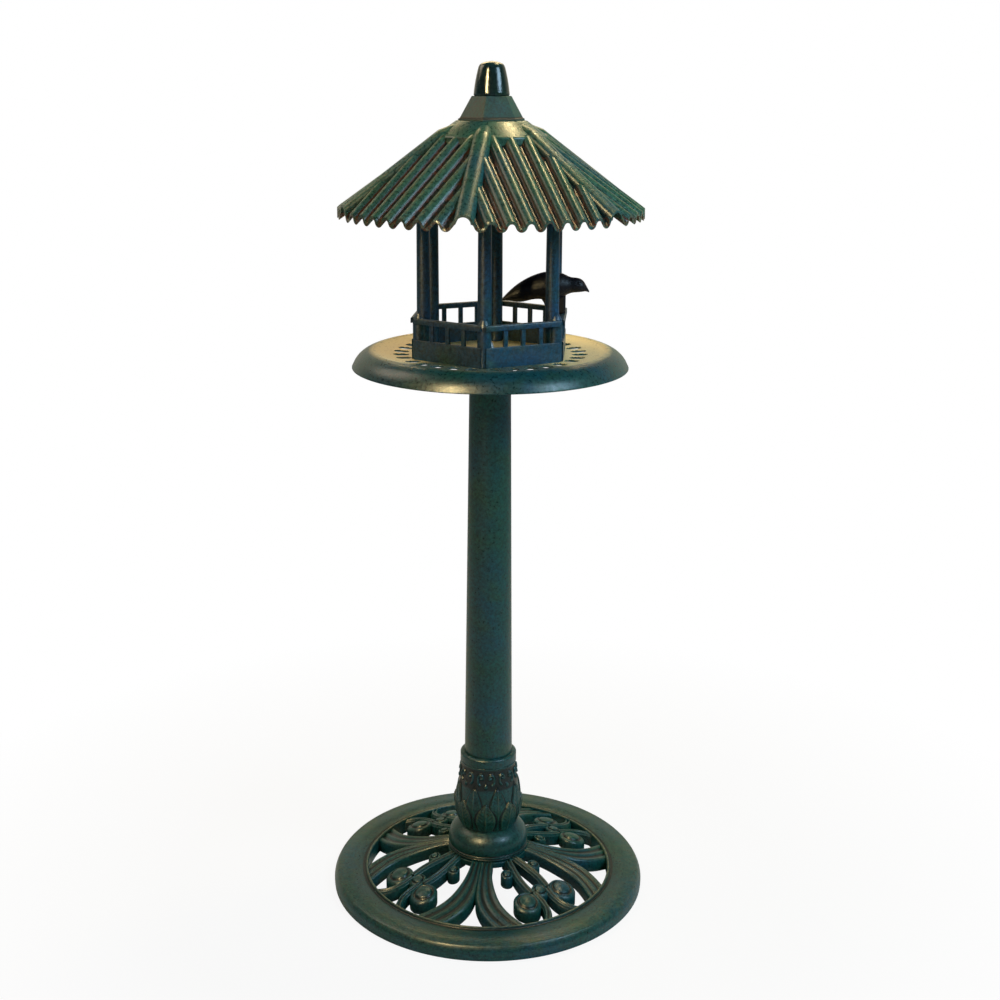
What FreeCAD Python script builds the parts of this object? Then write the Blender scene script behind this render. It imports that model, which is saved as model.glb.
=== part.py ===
import FreeCAD, Part
import math
import os

import Sketcher
from FreeCAD import Placement, Rotation, Vector

# Bird table, in millimetres. +Z is up and the origin is the centre of the face that the base stands on.
# The front post stands towards -Y, and the bird on the right-hand rail looks along +X.

# Driving dimensions. Each is written once here and kept in the sheet named Sizes.
SIZES = [
    # base: flat outer ring, openwork cone and hub
    ("base_radius", 253.7),
    ("base_height", 23.5),
    ("base_shoulder", 6.7),
    ("base_edge_height", 7.0),
    ("base_shoulder_bulge", 2.0),
    ("opening_radius", 198.0),
    ("lip_height", 2.5),
    ("lip_width", 4.5),
    ("lip_top_width", 2.0),
    ("openwork_drop", 3.0),
    ("openwork_thickness", 18.0),
    ("hub_margin", 1.0),
    ("hub_top_height", 57.0),
    ("hub_thickness", 9.0),
    ("base_turn", -4.0),
    ("eye_radius", 22.0),
    ("bud_radius", 14.0),
    ("curl_radius", 10.0),
    ("stem_width", 13.0),
    ("hook_width", 12.0),
    # bell foot
    ("foot_radius", 65.0),
    ("foot_rim_height", 9.0),
    ("foot_edge_chamfer", 3.0),
    ("foot_height", 46.0),
    ("foot_bulge", 7.0),
    ("foot_wall", 4.0),
    ("foot_top_inset", 1.0),
    ("spigot_height", 30.0),
    # leaf collar, its walls measured from the column out
    ("collar_height", 125.0),
    ("collar_foot_wall", 5.6),
    ("collar_belly_wall", 13.6),
    ("collar_belly_height", 40.0),
    ("collar_belly_bulge", 2.5),
    ("collar_shoulder_bulge", 2.0),
    ("collar_neck_wall", 3.9),
    ("collar_neck_step", 2.0),
    ("collar_lip_wall", 5.3),
    ("collar_lip_height", 17.0),
    ("collar_lip_chamfer", 2.5),
    # column
    ("column_height", 773.5),
    ("column_foot_radius", 39.6),
    ("column_head_radius", 31.1),
    ("column_wall", 3.0),
    ("bush_height", 16.0),
    # tray
    ("tray_radius", 207.5),
    ("tray_rim_width", 31.5),
    ("tray_crest_height", 10.0),
    ("tray_rim_drop", 16.5),
    ("tray_rim_bulge", 5.4),
    ("tray_dish_bulge", 1.6),
    ("tray_floor_margin", 1.0),
    ("tray_wall", 3.5),
    ("socket_depth", 22.0),
    ("socket_wall", 4.0),
    ("socket_flare", 2.0),
    ("slot_clearance", 3.6),
    ("slot_length", 24.0),
    ("slot_width", 17.0),
    ("slot_pitch_angle", 11.5),
    # posts and fence
    ("post_ring_radius", 108.0),
    ("post_foot_radius", 10.4),
    ("post_head_radius", 9.4),
    ("post_height", 238.0),
    ("post_spigot_radius", 6.0),
    ("fence_offset", 14.8),
    ("fence_height", 61.0),
    ("skirt_height", 29.0),
    ("skirt_thickness", 5.0),
    ("rail_height", 8.0),
    ("rail_width", 8.0),
    ("baluster_width", 6.5),
    ("baluster_pitch", 28.0),
    ("peg_radius", 2.0),
    ("peg_length", 3.2),
    ("peg_spread", 56.0),
    ("top_ring_width", 40.0),
    ("top_ring_thickness", 6.0),
    # roof
    ("roof_turn", -5.0),
    ("roof_top_radius", 51.0),
    ("roof_top_height", 94.0),
    ("crown_radius", 81.0),
    ("eave_radius", 224.0),
    ("eave_drop", 28.0),
    ("roof_wall", 3.2),
    ("rib_pitch", 26.0),
    ("rib_height", 9.0),
    ("hip_width", 27.0),
    ("hip_arch", 13.0),
    ("hip_rise", 8.0),
    ("roof_plate_thickness", 6.0),
    ("roof_skirt_wall", 3.5),
    ("roof_seat_width", 10.5),
    ("roof_skirt_depth", 10.0),
    # neck and finial
    ("neck_turn", -11.0),
    ("neck_margin", 1.0),
    ("neck_height", 34.0),
    ("neck_wall", 4.0),
    ("finial_foot_radius", 26.0),
    ("finial_foot_round", 1.3),
    ("finial_foot_bulge", 0.5),
    ("finial_shoulder_radius", 18.4),
    ("finial_shoulder_height", 41.5),
    ("finial_side_bulge", 0.8),
    ("finial_shoulder_bulge", 2.2),
    ("finial_height", 48.0),
    ("finial_crown_radius", 9.2),
    ("finial_crown_drop", 0.7),
    ("finial_bore_depth", 24.0),
    # metal fasteners
    ("rod_radius", 4.0),
    ("rod_nut_width", 13.0),
    ("rod_nut_height", 6.5),
    ("rod_washer_radius", 15.0),
    ("rod_end", 3.0),
    ("washer_thickness", 1.6),
    ("dome_height", 8.0),
    ("dome_foot_radius", 6.2),
    ("dome_top_radius", 3.2),
    ("screw_radius", 2.0),
    ("screw_head_radius", 4.0),
    ("screw_head_height", 2.6),
    ("screw_bite", 22.0),
    ("cap_screw_radius", 2.5),
    ("cap_screw_head_radius", 4.5),
    ("cap_screw_head_height", 4.5),
    ("cap_screw_end_gap", 2.0),
    ("cap_washer_radius", 9.0),
    ("pin_radius", 1.5),
    ("pin_depth", 12.0),
    ("pin_rise", 12.0),
    # bird
    ("bird_length", 130.0),
    ("bird_width", 41.0),
    ("bird_back_height", 62.0),
    ("bird_reach", 11.8),
    ("bird_leg_length", 30.5),
    ("bird_leg_width", 9.5),
    ("bird_leg_round", 3.8),
    ("bird_heel_reach", 27.3),
    # clearances
    ("fit_gap", 0.3),
    ("hole_gap", 0.5),
    ("panel_gap", 0.1),
    ("press_gap", 0.05),
]

POST_NAMES = ["back_right", "back", "back_left", "front_left", "front", "front_right"]
PANEL_NAMES = ["right", "back_right", "back_left", "left", "front_left", "front_right"]
SIDES = len(PANEL_NAMES)
SIDE_ANGLE = 360 / SIDES
SLOTS_PER_SIDE = 5
BALUSTERS = 3
MOTIFS = 4
RIBS_PER_SECTOR = 7
ARCH_FACETS = 6
# rise of the arc of a rounded end, as a share of the width there: just under a half circle
ROUND_END = 0.45

doc = FreeCAD.newDocument("BirdTable")
sheet = doc.addObject("Spreadsheet::Sheet", "Sizes")
sheet.Label = "Sizes"
for row, (alias, number) in enumerate(SIZES, start=1):
    sheet.set("A%d" % row, alias)
    sheet.set("B%d" % row, str(number))
    sheet.setAlias("B%d" % row, alias)
doc.recompute()


class Size:
    """A length together with the sheet expression it comes from, so that sums of sizes stay bound."""

    def __init__(self, value, text):
        self.value = value
        self.text = text

    def joined(self, sign, other, value):
        return Size(value, "(%s %s %s)" % (self.text, sign, as_size(other).text))

    def __add__(self, other):
        return self.joined("+", other, self.value + as_size(other).value)

    def __sub__(self, other):
        return self.joined("-", other, self.value - as_size(other).value)

    def __mul__(self, other):
        return self.joined("*", other, self.value * as_size(other).value)

    def __truediv__(self, other):
        return self.joined("/", other, self.value / as_size(other).value)

    def __neg__(self):
        return Size(-self.value, "(0 - %s)" % self.text)


def as_size(thing):
    return thing if isinstance(thing, Size) else Size(float(thing), repr(float(thing)))


class SheetSizes:
    """Reads a cell of the sheet by its alias."""

    def __getattr__(self, alias):
        return Size(float(sheet.get(alias)), "Sizes." + alias)


s = SheetSizes()

# Levels of the stack, each the height at which the next piece is seated.
foot_seat = s.hub_top_height
column_seat = foot_seat + s.foot_height
tray_seat = column_seat + s.column_height
floor_level = tray_seat + s.tray_wall
ring_seat = floor_level + s.post_height
roof_seat = ring_seat + s.top_ring_thickness
neck_seat = roof_seat + s.roof_top_height
finial_seat = neck_seat + s.neck_height
rail_level = floor_level + s.fence_height

# Sizes that follow from the neighbours.
corner_angle = math.radians(SIDE_ANGLE / 2)
rod_hole_radius = s.rod_radius + s.hole_gap
hub_radius = s.foot_radius + s.hub_margin
column_taper = (s.column_foot_radius - s.column_head_radius) / s.column_height
column_inner = s.column_foot_radius - s.column_wall
collar_inner = s.column_foot_radius + s.fit_gap
waist_radius = collar_inner + s.collar_foot_wall - s.foot_top_inset
fence_apothem = s.post_ring_radius * math.cos(corner_angle) + s.fence_offset
fence_corner_radius = (fence_apothem + s.skirt_thickness / 2) / math.cos(corner_angle)
tray_floor_radius = fence_corner_radius + s.tray_floor_margin
tray_crest_radius = s.tray_radius - s.tray_rim_width
slot_ring_radius = s.post_ring_radius + s.post_foot_radius + s.slot_clearance + s.slot_length / 2
top_ring_outer_radius = s.post_ring_radius + s.top_ring_width / 2
cap_hole_radius = s.cap_screw_radius + s.fit_gap


def bind(thing, path, size):
    """Ties one property to the sheet."""
    thing.setExpression(path, size.text)


def seat(thing, height, turn=None):
    """Places a piece on the axis at a level of the stack, turned about the axis."""
    degrees = 0 if turn is None else turn.value
    thing.Placement = Placement(Vector(0, 0, height.value), Rotation(Vector(0, 0, 1), degrees))
    bind(thing, ".Placement.Base.z", height)
    if turn is not None:
        bind(thing, ".Placement.Rotation.Angle", turn)


def add_body(label):
    body = doc.addObject("PartDesign::Body", label)
    body.Label = label
    return body


def add_sketch(body, name, role, offset=None, turn=None):
    """A sketch on one of the body's own origin planes, lifted along its normal and turned about it."""
    sketch = body.newObject("Sketcher::SketchObject", name)
    plane = [feature for feature in body.Origin.OriginFeatures if feature.Role == role][0]
    sketch.AttachmentSupport = (plane, [""])
    sketch.MapMode = "FlatFace"
    lift = 0 if offset is None else offset.value
    degrees = 0 if turn is None else turn.value
    sketch.AttachmentOffset = Placement(Vector(0, 0, lift), Rotation(Vector(0, 0, 1), degrees))
    if offset is not None:
        bind(sketch, ".AttachmentOffset.Base.z", offset)
    if turn is not None:
        bind(sketch, ".AttachmentOffset.Rotation.Angle", turn)
    return sketch


def pin_to(sketch, element, end, x, y):
    """Holds one end of a line or arc at a distance from the sketch's origin."""
    for kind, size in (("DistanceX", x), ("DistanceY", y)):
        index = sketch.addConstraint(Sketcher.Constraint(kind, -1, 1, element, end, size.value))
        if not size.text.replace(".", "").isdigit():
            sketch.setExpression("Constraints[%d]" % index, size.text)


def arc_through(start, end, bulge):
    """The arc from start to end that rises by bulge on the left hand (below zero: on the right)."""
    chord = end - start
    middle = (start + end) * 0.5
    radius = chord.Length ** 2 / (8 * abs(bulge)) + abs(bulge) / 2
    left = Vector(-chord.y, chord.x, 0).normalize()
    centre = middle + left * (bulge - math.copysign(radius, bulge))
    first, last = (end, start) if bulge > 0 else (start, end)
    first_angle = math.atan2(first.y - centre.y, first.x - centre.x)
    last_angle = math.atan2(last.y - centre.y, last.x - centre.x)
    if last_angle < first_angle:
        last_angle += 2 * math.pi
    return Part.ArcOfCircle(Part.Circle(centre, Vector(0, 0, 1), radius), first_angle, last_angle)


def outline(sketch, corners):
    """A closed outline. Each corner is (x, y) or (x, y, bulge), where bulge is the rise of the arc that
    leads to the next corner."""
    corners = [tuple(as_size(part) for part in corner) for corner in corners]
    ends = []
    for number, corner in enumerate(corners):
        following = corners[(number + 1) % len(corners)]
        start = Vector(corner[0].value, corner[1].value, 0)
        end = Vector(following[0].value, following[1].value, 0)
        if len(corner) == 2:
            element = sketch.addGeometry(Part.LineSegment(start, end), False)
            ends.append((element, 1, 2))
        else:
            bulge = corner[2]
            element = sketch.addGeometry(arc_through(start, end, bulge.value), False)
            ends.append((element, 2, 1) if bulge.value > 0 else (element, 1, 2))
            across = following[0] - corner[0]
            up = following[1] - corner[1]
            rise = bulge if bulge.value > 0 else -bulge
            radius = (across * across + up * up) / (rise * 8) + rise / 2
            index = sketch.addConstraint(Sketcher.Constraint("Radius", element, radius.value))
            sketch.setExpression("Constraints[%d]" % index, radius.text)
    for number, (element, start_end, far_end) in enumerate(ends):
        following = ends[(number + 1) % len(ends)]
        sketch.addConstraint(Sketcher.Constraint("Coincident", element, far_end, following[0], following[1]))
        pin_to(sketch, element, start_end, corners[number][0], corners[number][1])


def circle(sketch, x, y, radius):
    """A full circle held by its centre and radius."""
    x, y = as_size(x), as_size(y)
    ring = Part.Circle(Vector(x.value, y.value, 0), Vector(0, 0, 1), radius.value)
    element = sketch.addGeometry(ring, False)
    pin_to(sketch, element, 3, x, y)
    index = sketch.addConstraint(Sketcher.Constraint("Radius", element, radius.value))
    sketch.setExpression("Constraints[%d]" % index, radius.text)


def turned(label, corners, height, turn=None):
    """A piece of revolution about the Z axis, from its half section."""
    body = add_body(label)
    sketch = add_sketch(body, label + "_section", "XZ_Plane")
    outline(sketch, corners)
    feature = body.newObject("PartDesign::Revolution", label + "_turned")
    feature.Profile = sketch
    feature.ReferenceAxis = (sketch, ["V_Axis"])
    feature.Angle = 360
    sketch.Visibility = False
    seat(body, height, turn)
    return body


def pad(body, sketch, length, reverse=False):
    feature = body.newObject("PartDesign::Pad", sketch.Name + "_pad")
    feature.Profile = sketch
    feature.Length = length.value
    bind(feature, "Length", length)
    feature.Reversed = reverse
    return feature


def cut_through(body, sketch):
    """Cuts a sketch through the whole body, to both sides of its plane."""
    feature = body.newObject("PartDesign::Pocket", sketch.Name + "_cut")
    feature.Profile = sketch
    feature.Type = "ThroughAll"
    feature.Midplane = True
    return feature


def repeat_round(body, originals, name):
    """Repeats features on every side of the hexagon."""
    pattern = body.newObject("PartDesign::PolarPattern", name)
    pattern.Originals = originals
    axis = [feature for feature in body.Origin.OriginFeatures if feature.Role == "Z_Axis"][0]
    pattern.Axis = (axis, [""])
    pattern.Angle = 360
    pattern.Occurrences = SIDES
    body.Tip = pattern
    return pattern


def washer(label, radius, hole_radius, height):
    """A flat ring with a clearance hole."""
    disc = doc.addObject("Part::Cylinder", label + "_disc")
    bind(disc, "Radius", radius)
    bind(disc, "Height", s.washer_thickness)
    hole = doc.addObject("Part::Cylinder", label + "_hole")
    bind(hole, "Radius", hole_radius)
    bind(hole, "Height", s.washer_thickness)
    ring = doc.addObject("Part::Cut", label)
    ring.Base = disc
    ring.Tool = hole
    ring.Label = label
    seat(ring, height)
    return ring


def polar(radius, degrees):
    """A point of the plan from its distance to the axis and its direction."""
    angle = math.radians(degrees)
    return Vector(radius * math.cos(angle), radius * math.sin(angle), 0)


def smooth_edge(points):
    curve = Part.BSplineCurve()
    curve.interpolate(points)
    return curve.toShape()


def plan_solid(left, right, height):
    """An upright solid whose plan lies between two smooth lines."""
    edges = [
        smooth_edge(left),
        Part.makeLine(left[-1], right[-1]),
        smooth_edge(list(reversed(right))),
        Part.makeLine(right[0], left[0]),
    ]
    return Part.Face(Part.Wire(edges)).extrude(Vector(0, 0, height))


def band(route, width, height):
    """An upright solid of even width along a smooth route."""
    centre = Part.BSplineCurve()
    centre.interpolate(route)
    left, right = [], []
    for point in route:
        along = centre.tangent(centre.parameter(point))[0]
        side = Vector(-along.y, along.x, 0) * (width / 2)
        left.append(point + side)
        right.append(point - side)
    return plan_solid(left, right, height)


def revolved(section):
    """A ring from its half section, given as (radius, height) corners."""
    points = [Vector(radius, 0, height) for radius, height in section]
    return Part.Face(Part.makePolygon(points + points[:1])).revolve(Vector(), Vector(0, 0, 1), 360)


def mirrored(points):
    return [Vector(point.x, -point.y, 0) for point in points]


def base_shape():
    """Flat ring, hub, and four lyre motifs cut out of a cone between them."""
    radius = s.base_radius.value
    rim = s.base_height.value
    opening = s.opening_radius.value
    hub = hub_radius.value
    hub_top = s.hub_top_height.value
    thickness = s.openwork_thickness.value
    shoulder = radius - s.base_shoulder.value
    lip = s.lip_height.value
    lip_width = s.lip_width.value
    lip_slope = (s.lip_width - s.lip_top_width).value / 2

    edge = [Vector(radius, 0, s.base_edge_height.value), Vector(shoulder, 0, rim)]
    chord = edge[1] - edge[0]
    outward = Vector(chord.z, 0, -chord.x).normalize()
    crown = (edge[0] + edge[1]) * 0.5 + outward * s.base_shoulder_bulge.value
    flat = [
        Vector(opening + lip_width, 0, rim),
        Vector(opening + lip_width - lip_slope, 0, rim + lip),
        Vector(opening + lip_slope, 0, rim + lip),
        Vector(opening, 0, rim),
        Vector(opening, 0, 0),
        Vector(radius, 0, 0),
    ]
    section = Part.Wire(
        [Part.Arc(edge[0], crown, edge[1]).toShape()]
        + [Part.makeLine(a, b) for a, b in zip([edge[1]] + flat, flat + [edge[0]])]
    )
    ring = Part.Face(section).revolve(Vector(), Vector(0, 0, 1), 360)

    # the openwork runs into the ring and the hub by a third of its own thickness
    into = thickness / 3
    low = rim - s.openwork_drop.value
    slope = (hub_top - low) / (opening - hub)
    outer = opening + into
    inner = hub - into
    cone = revolved([
        (inner, hub_top + slope * into),
        (outer, low - slope * into),
        (outer, low - slope * into - thickness),
        (inner, hub_top + slope * into - thickness),
    ])
    tall = hub_top * 2

    def plan(share, degrees):
        return polar(hub + share * (opening - hub), degrees)

    # one lyre lies along +X; every rib is drawn for its left half and mirrored
    arm_outer = [plan(-0.06, 45.4), plan(0.26, 45.4), plan(0.58, 44.2), plan(0.79, 40), plan(1.06, 31.5)]
    arm_inner = [plan(-0.06, 28), plan(0.18, 32), plan(0.41, 31), plan(0.64, 28), plan(0.83, 23.5),
                 plan(1.06, 17)]
    stem = [plan(-0.08, 5), plan(0.18, 8), plan(0.42, 8), plan(0.56, 6.5)]
    hook = [plan(1.05, 10), plan(0.92, 6), plan(0.77, 4.2), plan(0.58, 5)]
    eye_place = plan(0.68, 12.8)
    curl_place = plan(0.2, 17)
    ribs = [Part.makeCylinder(s.bud_radius.value, tall, plan(0.56, 0))]
    for side in (list, mirrored):
        ribs.append(plan_solid(side(arm_outer), side(arm_inner), tall))
        ribs.append(band(side(stem), s.stem_width.value, tall))
        ribs.append(band(side(hook), s.hook_width.value, tall))
        ribs.append(Part.makeCylinder(s.eye_radius.value, tall, side([eye_place])[0]))
        ribs.append(Part.makeCylinder(s.curl_radius.value, tall, side([curl_place])[0]))
    lyre = ribs[0].multiFuse(ribs[1:]).common(cone)

    hub_plate = revolved([
        (rod_hole_radius.value, hub_top),
        (hub, hub_top),
        (hub, hub_top - s.hub_thickness.value),
        (rod_hole_radius.value, hub_top - s.hub_thickness.value),
    ])
    lyres = []
    for number in range(MOTIFS):
        copy = lyre.copy()
        copy.rotate(Vector(), Vector(0, 0, 1), (number + 0.5) * 360 / MOTIFS)
        lyres.append(copy)
    level = Part.makeBox(3 * radius, 3 * radius, hub_top, Vector(-1.5 * radius, -1.5 * radius, 0))
    return ring.multiFuse([hub_plate] + lyres).common(level).removeSplitter()


def roof_shape():
    """A round roof of six sectors of parallel ribs, with a raised ridge along each hip, a plain crown with
    a plate for the neck, and a skirt that fits the top ring. Heights are from the top of that ring."""
    top = s.roof_top_height.value
    top_radius = s.roof_top_radius.value
    crown = s.crown_radius.value
    eave = s.eave_radius.value
    half_pitch = s.rib_pitch.value / 2
    depth = s.rib_height.value
    wall = s.roof_wall.value
    fall = (top + s.eave_drop.value) / (eave - top_radius)
    slope = math.atan(fall)
    # from the crests down to the underside of the valleys, and through the wall, both measured upright
    sunk = (depth + wall) / math.cos(slope)
    through = wall / math.cos(slope)
    web_middle = crown - wall / 2

    def cone(radius):
        """The height of the cone that the ends of the crests lie on."""
        return top - (radius - top_radius) * fall

    # a sector faces +X, and its ribs run straight up the slope from an eave that is round and level
    up = Vector(-math.cos(slope), 0, math.sin(slope))
    normal = Vector(math.sin(slope), 0, math.cos(slope))
    below_eave = 2 * sunk
    foot = Vector(eave, 0, cone(eave)) - up * below_eave

    def on_section(along, height):
        """A point of the section square to the ribs, at a height over the line of the crests."""
        round_back = eave - math.sqrt(eave ** 2 - along ** 2)
        return foot + Vector(0, along, 0) + normal * (height - round_back * math.sin(slope))

    # the wave: equal arcs in turn, bent up over the crests and down through the valleys, between plain flanks
    half_chord = half_pitch / 2
    bend_radius = (half_chord ** 2 + (depth / 2) ** 2) / depth
    bend = math.asin(half_chord / bend_radius)
    half_waves = 2 * RIBS_PER_SECTOR + 1
    first = -half_waves * half_chord
    reach = eave * math.sin(corner_angle) + wall

    def wave(offset):
        """The edges of the line at an even distance above the middle of the wall, from flank to flank."""
        middle = -wall / 2

        def turning_point(number):
            dip = 0 if number % 2 == 0 else depth
            return on_section(first + (2 * number - 1) * half_chord, middle + offset - dip)

        def passing_point(number):
            lean = bend if number % 2 == 0 else -bend
            along = first + number * 2 * half_chord + offset * math.sin(lean)
            return on_section(along, middle - depth / 2 + offset * math.cos(lean))

        def flank_arc(number, side):
            height = middle + offset - (bend_radius + offset) * (1 - math.cos(bend / 2))
            along = turning_point(number).y + side * (bend_radius + offset) * math.sin(bend / 2)
            return on_section(along, height)

        ends = [on_section(-reach, middle + offset), on_section(reach, middle + offset)]
        edges = [Part.makeLine(ends[0], turning_point(0))]
        edges.append(Part.Arc(turning_point(0), flank_arc(0, 1), passing_point(0)).toShape())
        for number in range(half_waves):
            arc = Part.Arc(passing_point(number), turning_point(number + 1), passing_point(number + 1))
            edges.append(arc.toShape())
        last = half_waves + 1
        edges.append(Part.Arc(passing_point(last - 1), flank_arc(last, -1), turning_point(last)).toShape())
        edges.append(Part.makeLine(turning_point(last), ends[1]))
        return ends, edges

    upper_ends, upper = wave(wall / 2)
    lower_ends, lower = wave(-wall / 2)
    closing = [Part.makeLine(a, b) for a, b in zip(upper_ends, lower_ends)]
    corrugation = Part.Face(Part.Wire(Part.sortEdges(upper + lower + closing)[0]))
    ribs = corrugation.extrude(up * (below_eave + eave / math.cos(slope)))

    # the ridge along a hip: an arch of flat facets on upright sides, down to the underside of the valleys
    def ridge(start, finish, inset, height):
        """A ridge along +X between two (radius, height) places of its apex, drawn in by an inset."""
        radius, apex = start
        side = s.hip_width.value / 2 - inset
        arch = s.hip_arch.value
        corners = [Vector(radius, -side, apex - height), Vector(radius, side, apex - height)]
        for facet in range(ARCH_FACETS + 1):
            angle = math.pi * facet / ARCH_FACETS
            level = apex - arch + (arch - inset) * math.sin(angle)
            corners.append(Vector(radius, side * math.cos(angle), level))
        face = Part.Face(Part.makePolygon(corners + corners[:1]))
        return face.extrude(Vector(finish[0] - radius, 0, finish[1] - apex))

    rise = s.hip_rise.value
    apex_top = (web_middle, cone(web_middle) + rise)
    apex_end = (eave + wall, cone(eave + wall) + rise)
    web_face = (crown, cone(crown) + rise)
    hip_ridge = ridge(apex_top, apex_end, 0, rise + sunk)
    hip_hollow = ridge(web_face, apex_end, wall, 2 * sunk)

    def turned_copy(shape, turn):
        copy = shape.copy()
        copy.rotate(Vector(), Vector(0, 0, 1), turn * SIDE_ANGLE)
        return copy

    plan = [(web_middle, -eave), (eave, -eave), (eave, eave), (web_middle, eave)]
    plan = [Vector(radius, 0, level) for radius, level in plan]
    wedge = Part.Face(Part.makePolygon(plan + plan[:1])).revolve(Vector(), Vector(0, 0, 1), SIDE_ANGLE)
    solid = ribs.multiFuse([turned_copy(hip_ridge, side) for side in (-0.5, 0.5)])
    hollow = solid.cut([turned_copy(hip_hollow, side) for side in (-0.5, 0.5)])
    sector = hollow.common(turned_copy(wedge, -0.5))

    # the crown with the plate that the neck stands on, and a web that closes the upper ends of the ribs
    plate = s.roof_plate_thickness.value
    hole = cap_hole_radius.value
    crown_ring = revolved([
        (hole, top),
        (top_radius, top),
        (crown, cone(crown)),
        (crown, cone(crown) - sunk),
        (crown - wall, cone(crown) - sunk),
        (crown - wall, cone(crown - wall) - through),
        (top_radius + (plate - through) / fall, top - plate),
        (hole, top - plate),
    ])
    # each ridge runs out on the crown, from the middle of the crown's wall up
    wall_middle = through / 2
    over_crown = revolved([
        (top_radius - wall_middle / fall, top),
        (crown, cone(crown) - wall_middle),
        (crown, top),
    ])
    ridge_end = ridge((top_radius, top), apex_top, 0, top).common(over_crown)

    # the skirt sits on the top ring and goes round its edge, and ends half way into the valleys' wall
    ring_edge = (top_ring_outer_radius + s.fit_gap).value
    seat_edge = ring_edge - s.roof_seat_width.value
    skirt_edge = ring_edge + s.roof_skirt_wall.value
    valley_middle = sunk - wall_middle
    skirt = revolved([
        (seat_edge, 0),
        (ring_edge, 0),
        (ring_edge, -s.roof_skirt_depth.value),
        (skirt_edge, -s.roof_skirt_depth.value),
        (skirt_edge, cone(skirt_edge) - valley_middle),
        (ring_edge, cone(ring_edge) - valley_middle),
        (ring_edge, s.roof_skirt_wall.value),
        (seat_edge, s.roof_skirt_wall.value),
    ])

    sectors = [turned_copy(sector, number) for number in range(SIDES)]
    ridge_ends = [turned_copy(ridge_end, number + 0.5) for number in range(SIDES)]
    return sectors[0].multiFuse(sectors[1:] + ridge_ends + [crown_ring, skirt])


def bird_shape():
    """A smooth body through upright ovals from tail to beak, on a short flat leg. The origin is on the
    perch, and lengths are shares of the bird's length, width and back height."""
    length = s.bird_length.value
    width = s.bird_width.value
    tall = s.bird_back_height.value
    # place along the bird, height of the middle, half height, half width
    ovals = [
        (-0.605, 0.325, 0.03, 0.15),
        (-0.50, 0.43, 0.15, 0.25),
        (-0.38, 0.52, 0.25, 0.36),
        (-0.26, 0.615, 0.285, 0.45),
        (-0.12, 0.665, 0.325, 0.50),
        (0.00, 0.675, 0.32, 0.49),
        (0.095, 0.68, 0.26, 0.41),
        (0.17, 0.685, 0.19, 0.315),
        (0.245, 0.687, 0.17, 0.29),
        (0.30, 0.67, 0.14, 0.235),
        (0.34, 0.62, 0.08, 0.12),
        (0.38, 0.535, 0.02, 0.03),
    ]
    ring = Part.Wire(Part.makeCircle(1, Vector(), Vector(1, 0, 0)))
    wires = []
    for place, middle, half_height, half_width in ovals:
        stretch = FreeCAD.Matrix()
        stretch.scale(1, half_width * width, half_height * tall)
        wire = ring.transformGeometry(stretch)
        wire.translate(Vector(place * length - s.bird_reach.value, 0, middle * tall))
        wires.append(wire)
    body = Part.makeLoft(wires, True, False)
    leg_width = s.bird_leg_width.value
    heel = Vector(-s.bird_heel_reach.value, -leg_width / 2, s.fit_gap.value)
    leg = Part.makeBox(s.bird_leg_length.value, leg_width, tall / 2, heel)
    upright = [edge for edge in leg.Edges if abs(edge.tangentAt(edge.FirstParameter).z) > 0.5]
    leg = leg.makeFillet(s.bird_leg_round.value, upright)
    bore = Part.makeCylinder((s.pin_radius + s.press_gap).value, (s.pin_rise + s.fit_gap).value)
    return body.fuse(leg).cut(bore).removeSplitter()


def place_shape(label, shape, height, turn=None, out=None):
    """Puts a finished shape into the document at its level of the stack."""
    thing = doc.addObject("Part::Feature", label)
    thing.Label = label
    thing.Shape = shape
    seat(thing, height, turn)
    if out is not None:
        thing.Placement.Base.x = out.value
        bind(thing, ".Placement.Base.x", out)
    return thing


def mitred(sketch, width):
    """The plan of one side of the fence, whose ends are cut along the planes through the corners."""
    inner = fence_apothem - width / 2
    outer = fence_apothem + width / 2
    mitre = math.tan(corner_angle)
    outline(sketch, [
        (inner, s.panel_gap - inner * mitre),
        (outer, s.panel_gap - outer * mitre),
        (outer, outer * mitre - s.panel_gap),
        (inner, inner * mitre - s.panel_gap),
    ])


pieces = []

# base: the ring stands on the ground and the lyres carry the hub
pieces.append(place_shape("base_scrollwork", base_shape(), as_size(0), s.base_turn))

# bell foot: a hollow bell on the hub, with a spigot for the column
foot_spigot_radius = column_inner - column_taper * s.spigot_height - s.fit_gap
foot_wall_radius = s.foot_radius - s.foot_wall
foot_ceiling = s.foot_height - s.foot_wall
pieces.append(turned("bell_foot", [
    (s.foot_radius - s.foot_edge_chamfer, 0),
    (s.foot_radius, s.foot_edge_chamfer),
    (s.foot_radius, s.foot_rim_height, -s.foot_bulge),
    (waist_radius, s.foot_height),
    (foot_spigot_radius, s.foot_height),
    (foot_spigot_radius, s.foot_height + s.spigot_height),
    (rod_hole_radius, s.foot_height + s.spigot_height),
    (rod_hole_radius, foot_ceiling),
    (waist_radius - s.foot_wall, foot_ceiling, s.foot_bulge),
    (foot_wall_radius, s.foot_rim_height),
    (foot_wall_radius, 0),
], foot_seat))

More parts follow.
